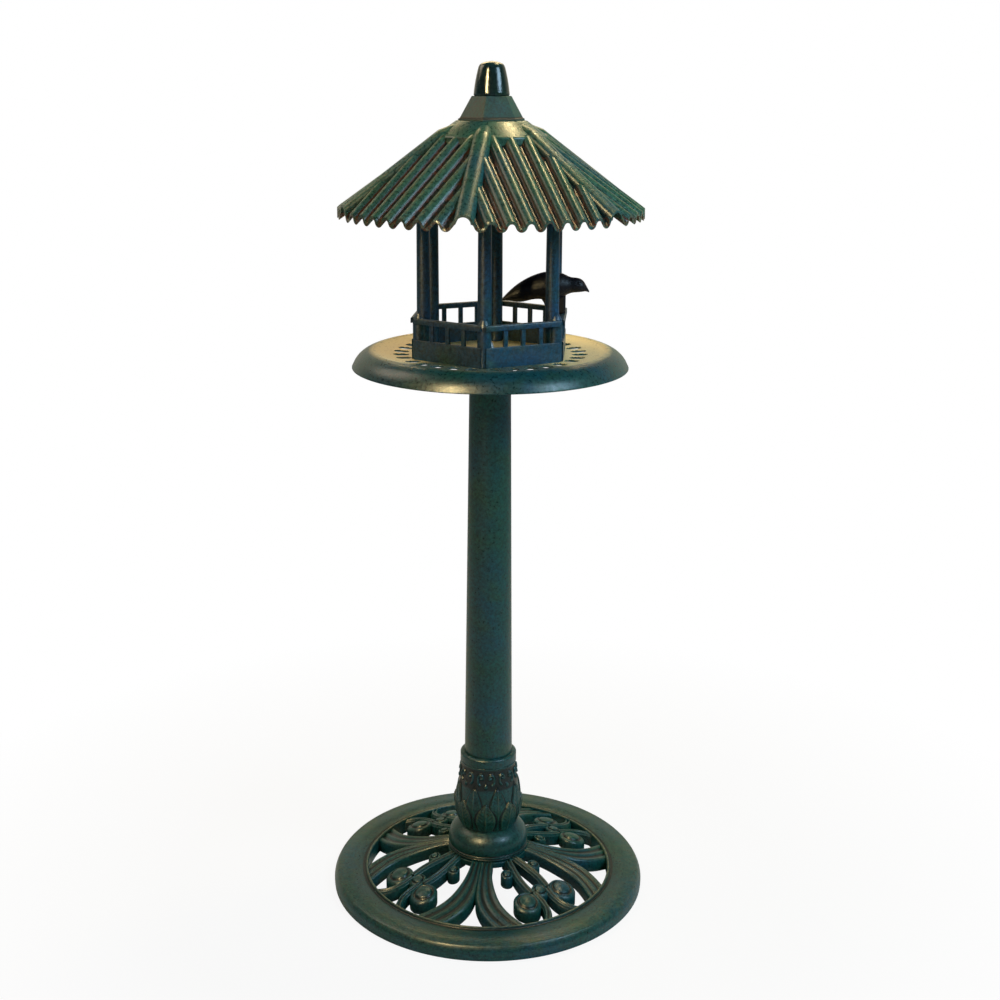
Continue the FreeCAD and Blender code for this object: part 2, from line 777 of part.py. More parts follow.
# leaf collar: a vase round the foot of the column
collar_lip_foot = s.collar_height - s.collar_lip_height
collar_neck_radius = collar_inner + s.collar_neck_wall
collar_lip_radius = collar_inner + s.collar_lip_wall
pieces.append(turned("leaf_collar", [
    (collar_inner, 0),
    (collar_inner + s.collar_foot_wall, 0, -s.collar_belly_bulge),
    (collar_inner + s.collar_belly_wall, s.collar_belly_height, -s.collar_shoulder_bulge),
    (collar_neck_radius, collar_lip_foot - s.collar_neck_step),
    (collar_lip_radius, collar_lip_foot),
    (collar_lip_radius, s.collar_height - s.collar_lip_chamfer),
    (collar_lip_radius - s.collar_lip_chamfer, s.collar_height),
    (collar_inner - column_taper * s.collar_height, s.collar_height),
], column_seat))

# column: one tapered tube
pieces.append(turned("column", [
    (column_inner, 0),
    (s.column_foot_radius, 0),
    (s.column_head_radius, s.column_height),
    (s.column_head_radius - s.column_wall, s.column_height),
], column_seat))

# bush: centres the rod in the head of the column
bush_radius = s.column_head_radius - s.column_wall - s.fit_gap
pieces.append(turned("column_top_bush", [
    (rod_hole_radius, 0),
    (bush_radius, 0),
    (bush_radius, s.bush_height),
    (rod_hole_radius, s.bush_height),
], tray_seat - s.bush_height))

# tray: dished floor, rolled-down rim, socket for the column, drain slots, screw and peg holes
socket_radius = s.column_head_radius + column_taper * s.socket_depth + s.fit_gap
tray = turned("tray", [
    (rod_hole_radius, 0),
    (rod_hole_radius, s.tray_wall),
    (tray_floor_radius, s.tray_wall, -s.tray_dish_bulge),
    (tray_crest_radius, s.tray_crest_height, s.tray_rim_bulge),
    (s.tray_radius, -s.tray_rim_drop),
    (s.tray_radius - s.tray_wall, -s.tray_rim_drop, -s.tray_rim_bulge),
    (tray_crest_radius, s.tray_crest_height - s.tray_wall, s.tray_dish_bulge),
    (tray_floor_radius, 0),
    (socket_radius + s.socket_wall + s.socket_flare, 0),
    (socket_radius + s.socket_wall, -s.socket_depth),
    (socket_radius, -s.socket_depth),
    (socket_radius, 0),
], tray_seat)
doc.recompute()
slot_cuts = []
for number in range(SLOTS_PER_SIDE):
    slot = add_sketch(tray, "slot_%d" % (number + 1), "XY_Plane",
                      turn=s.slot_pitch_angle * (number - (SLOTS_PER_SIDE - 1) / 2))
    half_width = s.slot_width / 2
    straight = (s.slot_length - s.slot_width) / 2
    round_end = -s.slot_width * ROUND_END
    outline(slot, [
        (slot_ring_radius - straight, -half_width),
        (slot_ring_radius + straight, -half_width, round_end),
        (slot_ring_radius + straight, half_width),
        (slot_ring_radius - straight, half_width, round_end),
    ])
    slot_cuts.append(cut_through(tray, slot))
holes = add_sketch(tray, "screw_and_peg_holes", "XY_Plane")
post_place = (s.post_ring_radius * math.cos(corner_angle), s.post_ring_radius * math.sin(corner_angle))
circle(holes, *post_place, s.screw_radius + s.fit_gap)
for side in (-1, 1):
    circle(holes, fence_apothem, s.peg_spread / 2 * side, s.peg_radius + s.fit_gap)
slot_cuts.append(cut_through(tray, holes))
repeat_round(tray, slot_cuts, "tray_sides")
pieces.append(tray)

# posts: tapered, with a spigot for the top ring and a pilot hole for the screw from below
post_spigot_height = s.top_ring_thickness - s.hole_gap
post_bore_radius = s.screw_radius + s.press_gap
post_bore_depth = s.screw_bite + s.hole_gap
for number, name in enumerate(POST_NAMES):
    post = turned("post_" + name, [
        (post_bore_radius, 0),
        (s.post_foot_radius, 0),
        (s.post_head_radius, s.post_height),
        (s.post_spigot_radius, s.post_height),
        (s.post_spigot_radius, s.post_height + post_spigot_height),
        (0, s.post_height + post_spigot_height),
        (0, post_bore_depth),
        (post_bore_radius, post_bore_depth),
    ], floor_level)
    angle = math.radians((number + 0.5) * SIDE_ANGLE)
    bind(post, ".Placement.Base.x", s.post_ring_radius * math.cos(angle))
    bind(post, ".Placement.Base.y", s.post_ring_radius * math.sin(angle))
    pieces.append(post)

# post screws: one under the tray for each post
screws = []
for number in range(SIDES):
    angle = math.radians((number + 0.5) * SIDE_ANGLE)
    for kind, radius, bottom, tall in (
        ("head", s.screw_head_radius, tray_seat - s.screw_head_height, s.screw_head_height),
        ("shank", s.screw_radius, tray_seat, s.tray_wall + s.screw_bite),
    ):
        cylinder = doc.addObject("Part::Cylinder", "screw_%s_%d" % (kind, number + 1))
        bind(cylinder, "Radius", radius)
        bind(cylinder, "Height", tall)
        bind(cylinder, ".Placement.Base.x", s.post_ring_radius * math.cos(angle))
        bind(cylinder, ".Placement.Base.y", s.post_ring_radius * math.sin(angle))
        bind(cylinder, ".Placement.Base.z", bottom)
        screws.append(cylinder)
post_screws = doc.addObject("Part::MultiFuse", "post_screws")
post_screws.Shapes = screws
post_screws.Label = "post_screws"
pieces.append(post_screws)

# fence panels: skirt, balusters and rail outside the posts, with two pegs in the tray floor
for number, name in enumerate(PANEL_NAMES):
    label = "panel_" + name
    panel = add_body(label)
    seat(panel, floor_level, as_size(number * SIDE_ANGLE))
    rail_foot = s.fence_height - s.rail_height
    board = add_sketch(panel, label + "_board", "XY_Plane")
    mitred(board, s.skirt_thickness)
    pad(panel, board, rail_foot)
    rail = add_sketch(panel, label + "_rail", "XY_Plane", rail_foot)
    mitred(rail, s.rail_width)
    pad(panel, rail, s.rail_height)
    pegs = add_sketch(panel, label + "_pegs", "XY_Plane")
    for side in (-1, 1):
        circle(pegs, fence_apothem, s.peg_spread / 2 * side, s.peg_radius)
    pad(panel, pegs, s.peg_length, reverse=True)
    windows = add_sketch(panel, label + "_windows", "YZ_Plane")
    for gap in range(BALUSTERS + 1):
        place = gap - (BALUSTERS + 1) / 2
        start = s.baluster_pitch * place + s.baluster_width / 2
        end = s.baluster_pitch * (place + 1) - s.baluster_width / 2
        outline(windows, [
            (start, s.skirt_height),
            (end, s.skirt_height),
            (end, rail_foot),
            (start, rail_foot),
        ])
    doc.recompute()
    cut_through(panel, windows)
    if name == "right":
        pin_hole = add_sketch(panel, label + "_pin_hole", "XY_Plane", s.fence_height)
        circle(pin_hole, fence_apothem, 0, s.pin_radius + s.press_gap)
        doc.recompute()
        drill = panel.newObject("PartDesign::Pocket", label + "_pin_hole_cut")
        drill.Profile = pin_hole
        bind(drill, "Length", s.pin_depth + s.hole_gap)
    pieces.append(panel)

# top ring: ties the posts together under the roof
top_ring_inner_radius = s.post_ring_radius - s.top_ring_width / 2
top_ring = turned("top_ring", [
    (top_ring_inner_radius, 0),
    (top_ring_outer_radius, 0),
    (top_ring_outer_radius, s.top_ring_thickness),
    (top_ring_inner_radius, s.top_ring_thickness),
], ring_seat)
doc.recompute()
spigot_hole = add_sketch(top_ring, "spigot_hole", "XY_Plane")
circle(spigot_hole, *post_place, s.post_spigot_radius + s.fit_gap)
repeat_round(top_ring, [cut_through(top_ring, spigot_hole)], "spigot_holes")
pieces.append(top_ring)

# roof, neck and finial: lifted off together
pieces.append(place_shape("roof", roof_shape(), roof_seat, s.roof_turn))

neck_foot_radius = s.roof_top_radius - s.neck_margin
neck_head_radius = s.finial_foot_radius / math.cos(corner_angle)
neck_hull = []
for kind, inset, upper in (
    ("outer", as_size(0), s.neck_height),
    ("inner", s.neck_wall, s.neck_height - s.neck_wall),
):
    ends = []
    for end, radius, level in (
        ("foot", neck_foot_radius - inset, as_size(0)),
        ("head", neck_head_radius - inset, upper),
    ):
        polygon = doc.addObject("Part::RegularPolygon", "neck_%s_%s" % (kind, end))
        polygon.Polygon = SIDES
        bind(polygon, "Circumradius", radius)
        bind(polygon, ".Placement.Base.z", level)
        ends.append(polygon)
    loft = doc.addObject("Part::Loft", "neck_" + kind)
    loft.Sections = ends
    loft.Solid = True
    loft.Ruled = True
    neck_hull.append(loft)
neck_hole = doc.addObject("Part::Cylinder", "neck_hole")
bind(neck_hole, "Radius", cap_hole_radius)
bind(neck_hole, "Height", s.neck_height)
neck_hollow = doc.addObject("Part::MultiFuse", "neck_hollow")
neck_hollow.Shapes = [neck_hull[1], neck_hole]
roof_neck = doc.addObject("Part::Cut", "roof_neck")
roof_neck.Base = neck_hull[0]
roof_neck.Tool = neck_hollow
roof_neck.Label = "roof_neck"
seat(roof_neck, neck_seat, s.neck_turn)
pieces.append(roof_neck)

cap_bore_radius = s.cap_screw_radius + s.press_gap
pieces.append(turned("finial", [
    (cap_bore_radius, 0),
    (s.finial_foot_radius - s.finial_foot_round, 0, -s.finial_foot_bulge),
    (s.finial_foot_radius, s.finial_foot_round, -s.finial_side_bulge),
    (s.finial_shoulder_radius, s.finial_shoulder_height, -s.finial_shoulder_bulge),
    (s.finial_crown_radius, s.finial_height - s.finial_crown_drop),
    (0, s.finial_height),
    (0, s.finial_bore_depth),
    (cap_bore_radius, s.finial_bore_depth),
], finial_seat))

cap_washer_seat = neck_seat - s.roof_plate_thickness - s.washer_thickness
pieces.append(washer("finial_washer", s.cap_washer_radius, cap_hole_radius, cap_washer_seat))
cap_shank = finial_seat + s.finial_bore_depth - s.cap_screw_end_gap - cap_washer_seat
pieces.append(turned("finial_screw", [
    (0, 0),
    (s.cap_screw_head_radius, 0),
    (s.cap_screw_head_radius, s.cap_screw_head_height),
    (s.cap_screw_radius, s.cap_screw_head_height),
    (s.cap_screw_radius, s.cap_screw_head_height + cap_shank),
    (0, s.cap_screw_head_height + cap_shank),
], cap_washer_seat - s.cap_screw_head_height))

# tie rod with its nuts and washers: clamps base, foot, column and tray
hub_washer_seat = foot_seat - s.hub_thickness - s.washer_thickness
hub_nut_seat = hub_washer_seat - s.rod_nut_height
rod_foot = hub_nut_seat - s.rod_end
dome_nut_seat = floor_level + s.washer_thickness
rod_head = dome_nut_seat + s.rod_nut_height
tie_rod = doc.addObject("Part::Cylinder", "tie_rod")
tie_rod.Label = "tie_rod"
bind(tie_rod, "Radius", s.rod_radius)
bind(tie_rod, "Height", rod_head - rod_foot)
seat(tie_rod, rod_foot)
pieces.append(tie_rod)
pieces.append(washer("hub_washer", s.rod_washer_radius, s.rod_radius + s.fit_gap, hub_washer_seat))
pieces.append(washer("tray_washer", s.rod_washer_radius, s.rod_radius + s.fit_gap, floor_level))


def nut_blank(label, tall):
    """The six-sided blank of a nut, from its width across flats."""
    blank = doc.addObject("Part::Prism", label + "_blank")
    blank.Polygon = 6
    bind(blank, "Circumradius", s.rod_nut_width / (2 * math.cos(math.pi / 6)))
    bind(blank, "Height", tall)
    bore = doc.addObject("Part::Cylinder", label + "_bore")
    bind(bore, "Radius", s.rod_radius + s.press_gap)
    bind(bore, "Height", tall)
    return blank, bore


blank, bore = nut_blank("hub_nut", s.rod_nut_height)
hub_nut = doc.addObject("Part::Cut", "hub_nut")
hub_nut.Base = blank
hub_nut.Tool = bore
hub_nut.Label = "hub_nut"
seat(hub_nut, hub_nut_seat)
pieces.append(hub_nut)

blank, bore = nut_blank("tray_dome_nut", s.rod_nut_height)
dome = doc.addObject("Part::Cone", "tray_dome_nut_dome")
bind(dome, "Radius1", s.dome_foot_radius)
bind(dome, "Radius2", s.dome_top_radius)
bind(dome, "Height", s.dome_height)
dome.Placement.Base.z = s.rod_nut_height.value
bind(dome, ".Placement.Base.z", s.rod_nut_height)
domed = doc.addObject("Part::Fuse", "tray_dome_nut_solid")
domed.Base = blank
domed.Tool = dome
tray_dome_nut = doc.addObject("Part::Cut", "tray_dome_nut")
tray_dome_nut.Base = domed
tray_dome_nut.Tool = bore
tray_dome_nut.Label = "tray_dome_nut"
seat(tray_dome_nut, dome_nut_seat)
pieces.append(tray_dome_nut)

# bird and the pin it turns on
pieces.append(place_shape("bird", bird_shape(), rail_level, out=fence_apothem))
bird_pin = doc.addObject("Part::Cylinder", "bird_pin")
bird_pin.Label = "bird_pin"
bind(bird_pin, "Radius", s.pin_radius)
bind(bird_pin, "Height", s.pin_depth + s.pin_rise)
seat(bird_pin, rail_level - s.pin_depth)
bind(bird_pin, ".Placement.Base.x", fence_apothem)
pieces.append(bird_pin)

doc.recompute()
for thing in doc.Objects:
    if "Invalid" in thing.State or "Error" in thing.State:
        raise RuntimeError("%s failed: %s" % (thing.Label, thing.State))

os.makedirs("parts", exist_ok=True)
for piece in pieces:
    shape = piece.Shape
    if shape.isNull() or not shape.isValid() or not shape.Solids:
        raise RuntimeError("%s has no valid solid" % piece.Label)
    shape.exportStep("parts/%s.step" % piece.Label)
    print("%-18s solids %d volume %.0f" % (piece.Label, len(shape.Solids), shape.Volume))
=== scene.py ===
"""Dresses the bird table: openwork base, column, tray, posts and fence, ribbed roof, finial and bird."""

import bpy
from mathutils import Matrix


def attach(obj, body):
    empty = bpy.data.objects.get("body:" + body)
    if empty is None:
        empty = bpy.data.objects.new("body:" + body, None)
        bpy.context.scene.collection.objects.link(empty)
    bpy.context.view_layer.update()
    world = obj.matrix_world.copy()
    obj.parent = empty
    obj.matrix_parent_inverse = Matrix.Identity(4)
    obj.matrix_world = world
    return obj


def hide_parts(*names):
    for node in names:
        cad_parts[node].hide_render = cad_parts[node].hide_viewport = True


bl_info = {
    "name": "Bird table",
    "version": (1, 0, 0),
    "blender": (4, 5, 0),
    "location": "View3D > Sidebar > Bird table",
    "description": "Builds the visible pieces and finishes of a moulded bird table round its solid model",
    "category": "Add Mesh",
}

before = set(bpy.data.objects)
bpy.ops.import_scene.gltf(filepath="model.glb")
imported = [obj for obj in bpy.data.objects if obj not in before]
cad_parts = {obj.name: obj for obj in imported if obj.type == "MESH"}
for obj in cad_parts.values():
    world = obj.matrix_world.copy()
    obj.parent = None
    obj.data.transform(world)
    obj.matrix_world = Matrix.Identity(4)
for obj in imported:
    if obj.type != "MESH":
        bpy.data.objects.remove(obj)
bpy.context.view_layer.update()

import math
from types import SimpleNamespace

import bmesh
import bpy
import numpy as np
from mathutils import Matrix

MM = 0.001
SIDES = 6
SIDE_ANGLE = math.tau / SIDES
MOTIFS = 4
POST_NAMES = ["back_right", "back", "back_left", "front_left", "front", "front_right"]
PANEL_NAMES = ["right", "back_right", "back_left", "left", "front_left", "front_right"]
ROD_HOLE = 4.5
FASTENERS = ["post_screws", "tie_rod", "hub_washer", "tray_washer", "hub_nut", "tray_dome_nut",
             "finial_washer", "finial_screw", "bird_pin"]


def srgb(code):
    """The linear colour of an sRGB hex code."""
    channels = [int(code[start:start + 2], 16) / 255 for start in (1, 3, 5)]
    return [c / 12.92 if c <= 0.04045 else ((c + 0.055) / 1.055) ** 2.4 for c in channels]


def length(name, description, millimetres):
    """A length property, given in millimetres and kept in metres."""
    return bpy.props.FloatProperty(name=name, description=description, default=millimetres * MM,
                                   min=0.0, unit="LENGTH", precision=4)


def colour(name, description, code):
    """A colour property, given as an sRGB hex code."""
    return bpy.props.FloatVectorProperty(name=name, description=description, default=srgb(code),
                                         size=3, min=0.0, max=1.0, subtype="COLOR")


class BirdTableSizes(bpy.types.PropertyGroup):
    """Lengths of the bird table."""

    base_radius: length("Base radius", "Radius of the base ring at the ground", 253.7)
    base_height: length("Base height", "Height of the base ring's flat top", 23.5)
    opening_radius: length("Opening radius", "Inner radius of the base ring", 198.0)
    hub_radius: length("Hub radius", "Radius of the hub under the bell foot", 66.0)
    hub_top: length("Hub top", "Height of the hub's top face", 57.0)
    openwork_depth: length("Openwork depth", "Depth of the scrollwork's side walls", 18.0)
    foot_radius: length("Foot radius", "Radius of the bell foot's rim", 65.0)
    foot_height: length("Foot height", "Height of the bell foot", 46.0)
    collar_height: length("Collar height", "Height of the leaf collar", 125.0)
    column_height: length("Column height", "Length of the column", 773.5)
    column_foot_radius: length("Column foot radius", "Radius of the column's lower end", 39.6)
    column_head_radius: length("Column head radius", "Radius of the column's upper end", 31.1)
    tray_radius: length("Tray radius", "Radius of the tray's rim", 207.5)
    tray_crest_radius: length("Tray crest radius", "Radius of the highest line of the tray's rim", 176.0)
    tray_wall: length("Tray wall", "Thickness of the tray", 3.5)
    post_ring_radius: length("Post ring radius", "Radius of the circle that the posts stand on", 108.0)
    post_foot_radius: length("Post foot radius", "Radius of a post at the tray", 10.4)
    post_head_radius: length("Post head radius", "Radius of a post at the roof", 9.4)
    post_height: length("Post height", "Height of a post above the tray floor", 238.0)
    fence_height: length("Fence height", "Height of the fence above the tray floor", 61.0)
    skirt_height: length("Skirt height", "Height of the fence's solid lower part", 29.0)
    fence_offset: length("Fence offset", "Distance of the fence outside the line through the posts", 14.8)
    ring_thickness: length("Top ring thickness", "Thickness of the ring on the posts", 6.0)
    roof_top_radius: length("Roof top radius", "Radius of the level top that the neck stands on", 51.0)
    roof_height: length("Roof height", "Height of the roof's top above the top ring", 94.0)
    crown_radius: length("Crown radius", "Radius of the plain crown, where the ribs end", 81.0)
    eave_radius: length("Eave radius", "Radius of the round eave", 224.0)
    eave_drop: length("Eave drop", "Drop of the eave below the top ring", 28.0)
    roof_wall: length("Roof wall", "Thickness of the roof", 3.2)
    rib_pitch: length("Rib pitch", "Distance between the crests of two ribs", 26.0)
    rib_height: length("Rib height", "Depth of the valleys between the ribs", 9.0)
    hip_width: length("Hip width", "Width of the ridge along a hip", 27.0)
    hip_arch: length("Hip arch", "Height of the ridge's round arch", 13.0)
    hip_rise: length("Hip rise", "Height of the ridge over the ribs' crests at the eave", 8.0)
    neck_height: length("Neck height", "Height of the six-sided neck", 34.0)
    finial_radius: length("Finial radius", "Radius of the finial's foot", 26.0)
    finial_height: length("Finial height", "Height of the finial", 48.0)
    bird_length: length("Bird length", "Length that the bird's ovals are shares of", 130.0)
    bird_width: length("Bird width", "Width of the bird's body", 41.0)
    bird_height: length("Bird height", "Height of the bird's back above the perch", 62.0)
    bird_reach: length("Bird reach", "How far the bird sits back from the rail", 11.8)


class BirdTableColours(bpy.types.PropertyGroup):
    """Colours of the finishes."""

    green: colour("Green", "Main colour of the moulded plastic", "#10574A")
    teal: colour("Teal", "Bluer patches of the moulded plastic", "#0B5566")
    olive: colour("Olive", "Weathered patches of the moulded plastic", "#2F5A38")
    # shade is also the painted shade in grooves, gaps, side walls, the neck's step and the roof's valley
    # bottoms
    shade: colour("Shade", "Darkest mottling of the moulded plastic", "#06201E")
    gilt: colour("Gilt", "Rubbed highlights on ridges and edges", "#A79A63")
    rust: colour("Rust", "Rust-coloured stain in the roof's valleys", "#6B3418")
    roof_green: colour("Roof green", "Main colour of the roof", "#336B52")
    # The posts' and fence's darker, bluer ground colour is painted shade, for the roof's shade and bluish
    # light
    painted_house_shade: colour("Slate", "Bluer paint of the posts and fence", "#155070")
    # The tray floor's pale colour is a painted highlight, for the glossy reflection of light from above
    painted_floor_highlight: colour("Dust", "Pale dust and seed husk on the tray floor", "#FFE29A")
    cap: colour("Cap", "Glossy finish of the finial", "#25372E")
    feather: colour("Feather", "The bird's black", "#040406")
    zinc: colour("Zinc", "Zinc-plated steel of the fasteners", "#A9ABA6")
    floor: colour("Floor", "Pale floor and backdrop", "#F1F0EE")


def sizes(context):
    """All lengths of the bird table, in millimetres, and the heights that its main pieces stand at."""
    group = context.scene.bird_table_sizes
    size = SimpleNamespace(**{name: getattr(group, name) / MM for name in BirdTableSizes.__annotations__})
    size.column_seat = size.hub_top + size.foot_height
    size.tray_seat = size.column_seat + size.column_height
    size.floor = size.tray_seat + size.tray_wall
    size.roof_seat = size.floor + size.post_height + size.ring_thickness
    size.neck_seat = size.roof_seat + size.roof_height
    size.finial_seat = size.neck_seat + size.neck_height
    return size


# Shapes, in millimetres


def smooth_line(points, count):
    """A natural cubic spline through the points, by the distance between them, at count even steps: on each
    stretch the point is a cubic blend of its two ends and of their second derivatives."""
    points = np.asarray(points, float)
    steps = np.linalg.norm(np.diff(points, axis=0), axis=1)
    knots = np.concatenate([[0], np.cumsum(steps)])
    size = len(points)
    system = np.eye(size)
    right = np.zeros_like(points)
    inner = np.arange(1, size - 1)
    system[inner, inner - 1] = steps[:-1]
    system[inner, inner] = 2 * (steps[:-1] + steps[1:])
    system[inner, inner + 1] = steps[1:]
    rate = np.diff(points, axis=0) / steps[:, None]
    right[1:-1] = 6 * np.diff(rate, axis=0)
    second = np.linalg.solve(system, right)
    place = np.linspace(0, knots[-1], count)
    start = np.clip(np.searchsorted(knots, place, side="right") - 1, 0, size - 2)
    width = steps[start][:, None]
    after = (place - knots[start])[:, None] / width
    before = 1 - after
    bend = (before ** 3 - before) * second[start] + (after ** 3 - after) * second[start + 1]
    return before * points[start] + after * points[start + 1] + bend * width ** 2 / 6


def rounded(corners, closed=True, steps=4):
    """An outline whose corners (x, y, round) are cut by the parabola that starts and ends at distance round
    from the corner, and points (x, y) are kept."""
    places = np.array([corner[:2] for corner in corners], float)
    result = []
    for number, corner in enumerate(corners):
        here = places[number]
        ends = not closed and number in (0, len(corners) - 1)
        if len(corner) == 2 or ends:
            result.append(here[None])
            continue
        before = places[number - 1] - here
        after = places[(number + 1) % len(places)] - here
        start = here + before / np.linalg.norm(before) * corner[2]
        end = here + after / np.linalg.norm(after) * corner[2]
        share = np.linspace(0, 1, steps + 1)[:, None]
        result.append((1 - share) ** 2 * start + 2 * share * (1 - share) * here + share ** 2 * end)
    return np.concatenate(result)


def bow(start, end, rise, steps=8):
    """The points between start and end of a parabola that rises by the given amount on the left hand."""
    start, end = np.asarray(start, float), np.asarray(end, float)
    share = np.linspace(0, 1, steps + 1)[1:-1, None]
    chord = end - start
    left = np.array([-chord[1], chord[0]]) / np.linalg.norm(chord)
    return start + share * chord + 4 * share * (1 - share) * rise * left


def section_of(*stretches):
    """A section from stretches: a list of corners is rounded between its two ends, other points are kept."""
    return np.concatenate([rounded(stretch, closed=False) if isinstance(stretch, list) else stretch
                           for stretch in stretches])


def joined(*axes):
    """Points from their x, y and z, or r and z, each of which may be shared by many points."""
    return np.stack(np.broadcast_arrays(*axes), -1)


def full_circle(count):
    """Even angles all round, without the last one, which is the first again."""
    return np.linspace(0, math.tau, count, endpoint=False)


def turned(profile, angles):
    """Every profile point (r, z) goes round the axis: x = r cos t, y = r sin t."""
    r, z = np.asarray(profile, float).T[:, :, None]
    return joined(r * np.cos(angles), r * np.sin(angles), z)


def place(points, turn=0.0, shift=(0, 0, 0)):
    """Points turned about the axis by an angle and then moved."""
    c, s = math.cos(turn), math.sin(turn)
    x, y, z = np.moveaxis(points, -1, 0)
    return joined(x * c - y * s, x * s + y * c, z) + np.asarray(shift, float)


def closed_tube(rings):
    """A tube of rings with its two ends closed on their own middle points."""
    first, last = (np.broadcast_to(ring.mean(0), ring.shape)[None] for ring in (rings[0], rings[-1]))
    return np.concatenate([first, rings, last])


def step(low, high, value):
    """0 below low, 1 above high, and 3t^2 - 2t^3 between them."""
    t = np.clip((value - low) / (high - low), 0, 1)
    return t * t * (3 - 2 * t)


def ridge(distance, width):
    """A rounded ridge: (1 - (d / w)^2)^2 within the width, 0 outside it."""
    return np.clip(1 - (distance / width) ** 2, 0, 1) ** 2


# Meshes


def patch(points, wrap_rows=False, wrap_columns=False, crest=0.0, hollow=0.0):
    """The quads of a grid of points, with how much each point is a rubbed crest, and how much it takes the
    hollows'
    colour of its finish: painted shade, on the tray a pale painted highlight, on the roof rust and painted
    shade.
    """
    rows, columns = points.shape[:2]
    index = np.arange(rows * columns).reshape(rows, columns)
    if wrap_rows:
        index = np.vstack([index, index[:1]])
    if wrap_columns:
        index = np.hstack([index, index[:, :1]])
    quads = np.stack([index[:-1, :-1], index[:-1, 1:], index[1:, 1:], index[1:, :-1]], -1).reshape(-1, 4)
    tones = [np.broadcast_to(tone, (rows, columns)).ravel() for tone in (crest, hollow)]
    return points.reshape(-1, 3), quads, tones


def placed(parts, turn=0.0, shift=(0, 0, 0)):
    """The same patches turned about the axis and then moved."""
    return [(place(points, turn, shift), quads, tones) for points, quads, tones in parts]


def make_piece(name, patches, material, body, replaces, sharp=38.0):
    """One object from patches: welded where they touch, normals outwards, smooth up to the sharp angle."""
    offsets = np.cumsum([0] + [len(points) for points, _, _ in patches])
    points = np.concatenate([points for points, _, _ in patches]) * MM
    quads = np.concatenate([quads + offset for (_, quads, _), offset in zip(patches, offsets)])
    mesh = bpy.data.meshes.new(name)
    mesh.from_pydata(points.tolist(), [], quads.tolist())
    for number, tone in enumerate(("crest", "hollow")):
        values = np.concatenate([tones[number] for _, _, tones in patches]).astype(np.float32)
        mesh.attributes.new(tone, "FLOAT", "POINT").data.foreach_set("value", values)
    work = bmesh.new()
    work.from_mesh(mesh)
    bmesh.ops.remove_doubles(work, verts=work.verts, dist=2e-6)
    bmesh.ops.dissolve_degenerate(work, dist=1e-7, edges=work.edges)
    bmesh.ops.recalc_face_normals(work, faces=work.faces)
    work.to_mesh(mesh)
    work.free()
    mesh.polygons.foreach_set("use_smooth", np.ones(len(mesh.polygons), bool))
    mesh.set_sharp_from_angle(angle=math.radians(sharp))
    mesh.materials.append(material)
    piece = bpy.data.objects.new(name, mesh)
    bpy.context.scene.collection.objects.link(piece)
    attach(piece, body)
    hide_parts(*replaces)


# Materials


def add_node(tree, kind, inputs=None, **settings):
    """Adds a node with its settings. An input is linked from a socket or from a node's first output, or given
    a value, where a colour gets its alpha of 1."""
    node = tree.nodes.new(kind)
    for name, value in settings.items():
        setattr(node, name, value)
    for name, value in (inputs or {}).items():
        socket = node.inputs[name]
        if isinstance(value, bpy.types.Node):
            value = value.outputs[0]
        if isinstance(value, bpy.types.NodeSocket):
            tree.links.new(value, socket)
        else:
            socket.default_value = (*value, 1) if socket.type == "RGBA" else value
    return node


def new_material(context, name, build, *settings):
    """The material of this name; the first time, build(tree, colours, *settings) makes its nodes."""
    material = bpy.data.materials.get(name)
    if material is None:
        material = bpy.data.materials.new(name)
        material.use_nodes = True
        material.node_tree.nodes.clear()
        build(material.node_tree, context.scene.bird_table_colours, *settings)
    return material


# Moulded polypropylene under a rubbed verdigris paint: roughness, colour of the hollows (painted shade; on
# the tray a pale painted highlight; on the roof rust, with painted shade below it), share of gilt on the
# crests, ground colour
PAINTS = {
    "verdigris": (0.34, "shade", 1.0, "green"),  # base, foot, column, collar, top ring and bush
    "verdigris_tray": (0.32, "painted_floor_highlight", 0.8, "green"),  # a pale painted highlight on the floor, for the glossy reflection of light from above
    "verdigris_house_shaded": (0.36, "shade", 0.6, "painted_house_shade"),  # posts and fence, darker and bluer: painted shade under the roof
    "verdigris_roof": (0.3, "rust", 0.6, "roof_green"),  # greener, with rust on the flanks of the valleys and painted shade at their bottoms
    "verdigris_neck": (0.6, "shade", 0.7, "green"),  # duller
    "polished": (0.1, "shade", 1.0, "cap"),  # the glossy finial, worn smooth
}
# size in millimetres, detail and distortion of each noise in the paint
PAINT_NOISES = {
    "blotch": (90.0, 2.0, 0.0), "patch": (42.0, 3.0, 0.0), "mottle": (4.0, 4.0, 0.4),
    "grain": (1.5, 2.0, 0.0), "hollow": (11.0, 3.0, 0.0), "crest": (9.0, 4.0, 0.0),
}


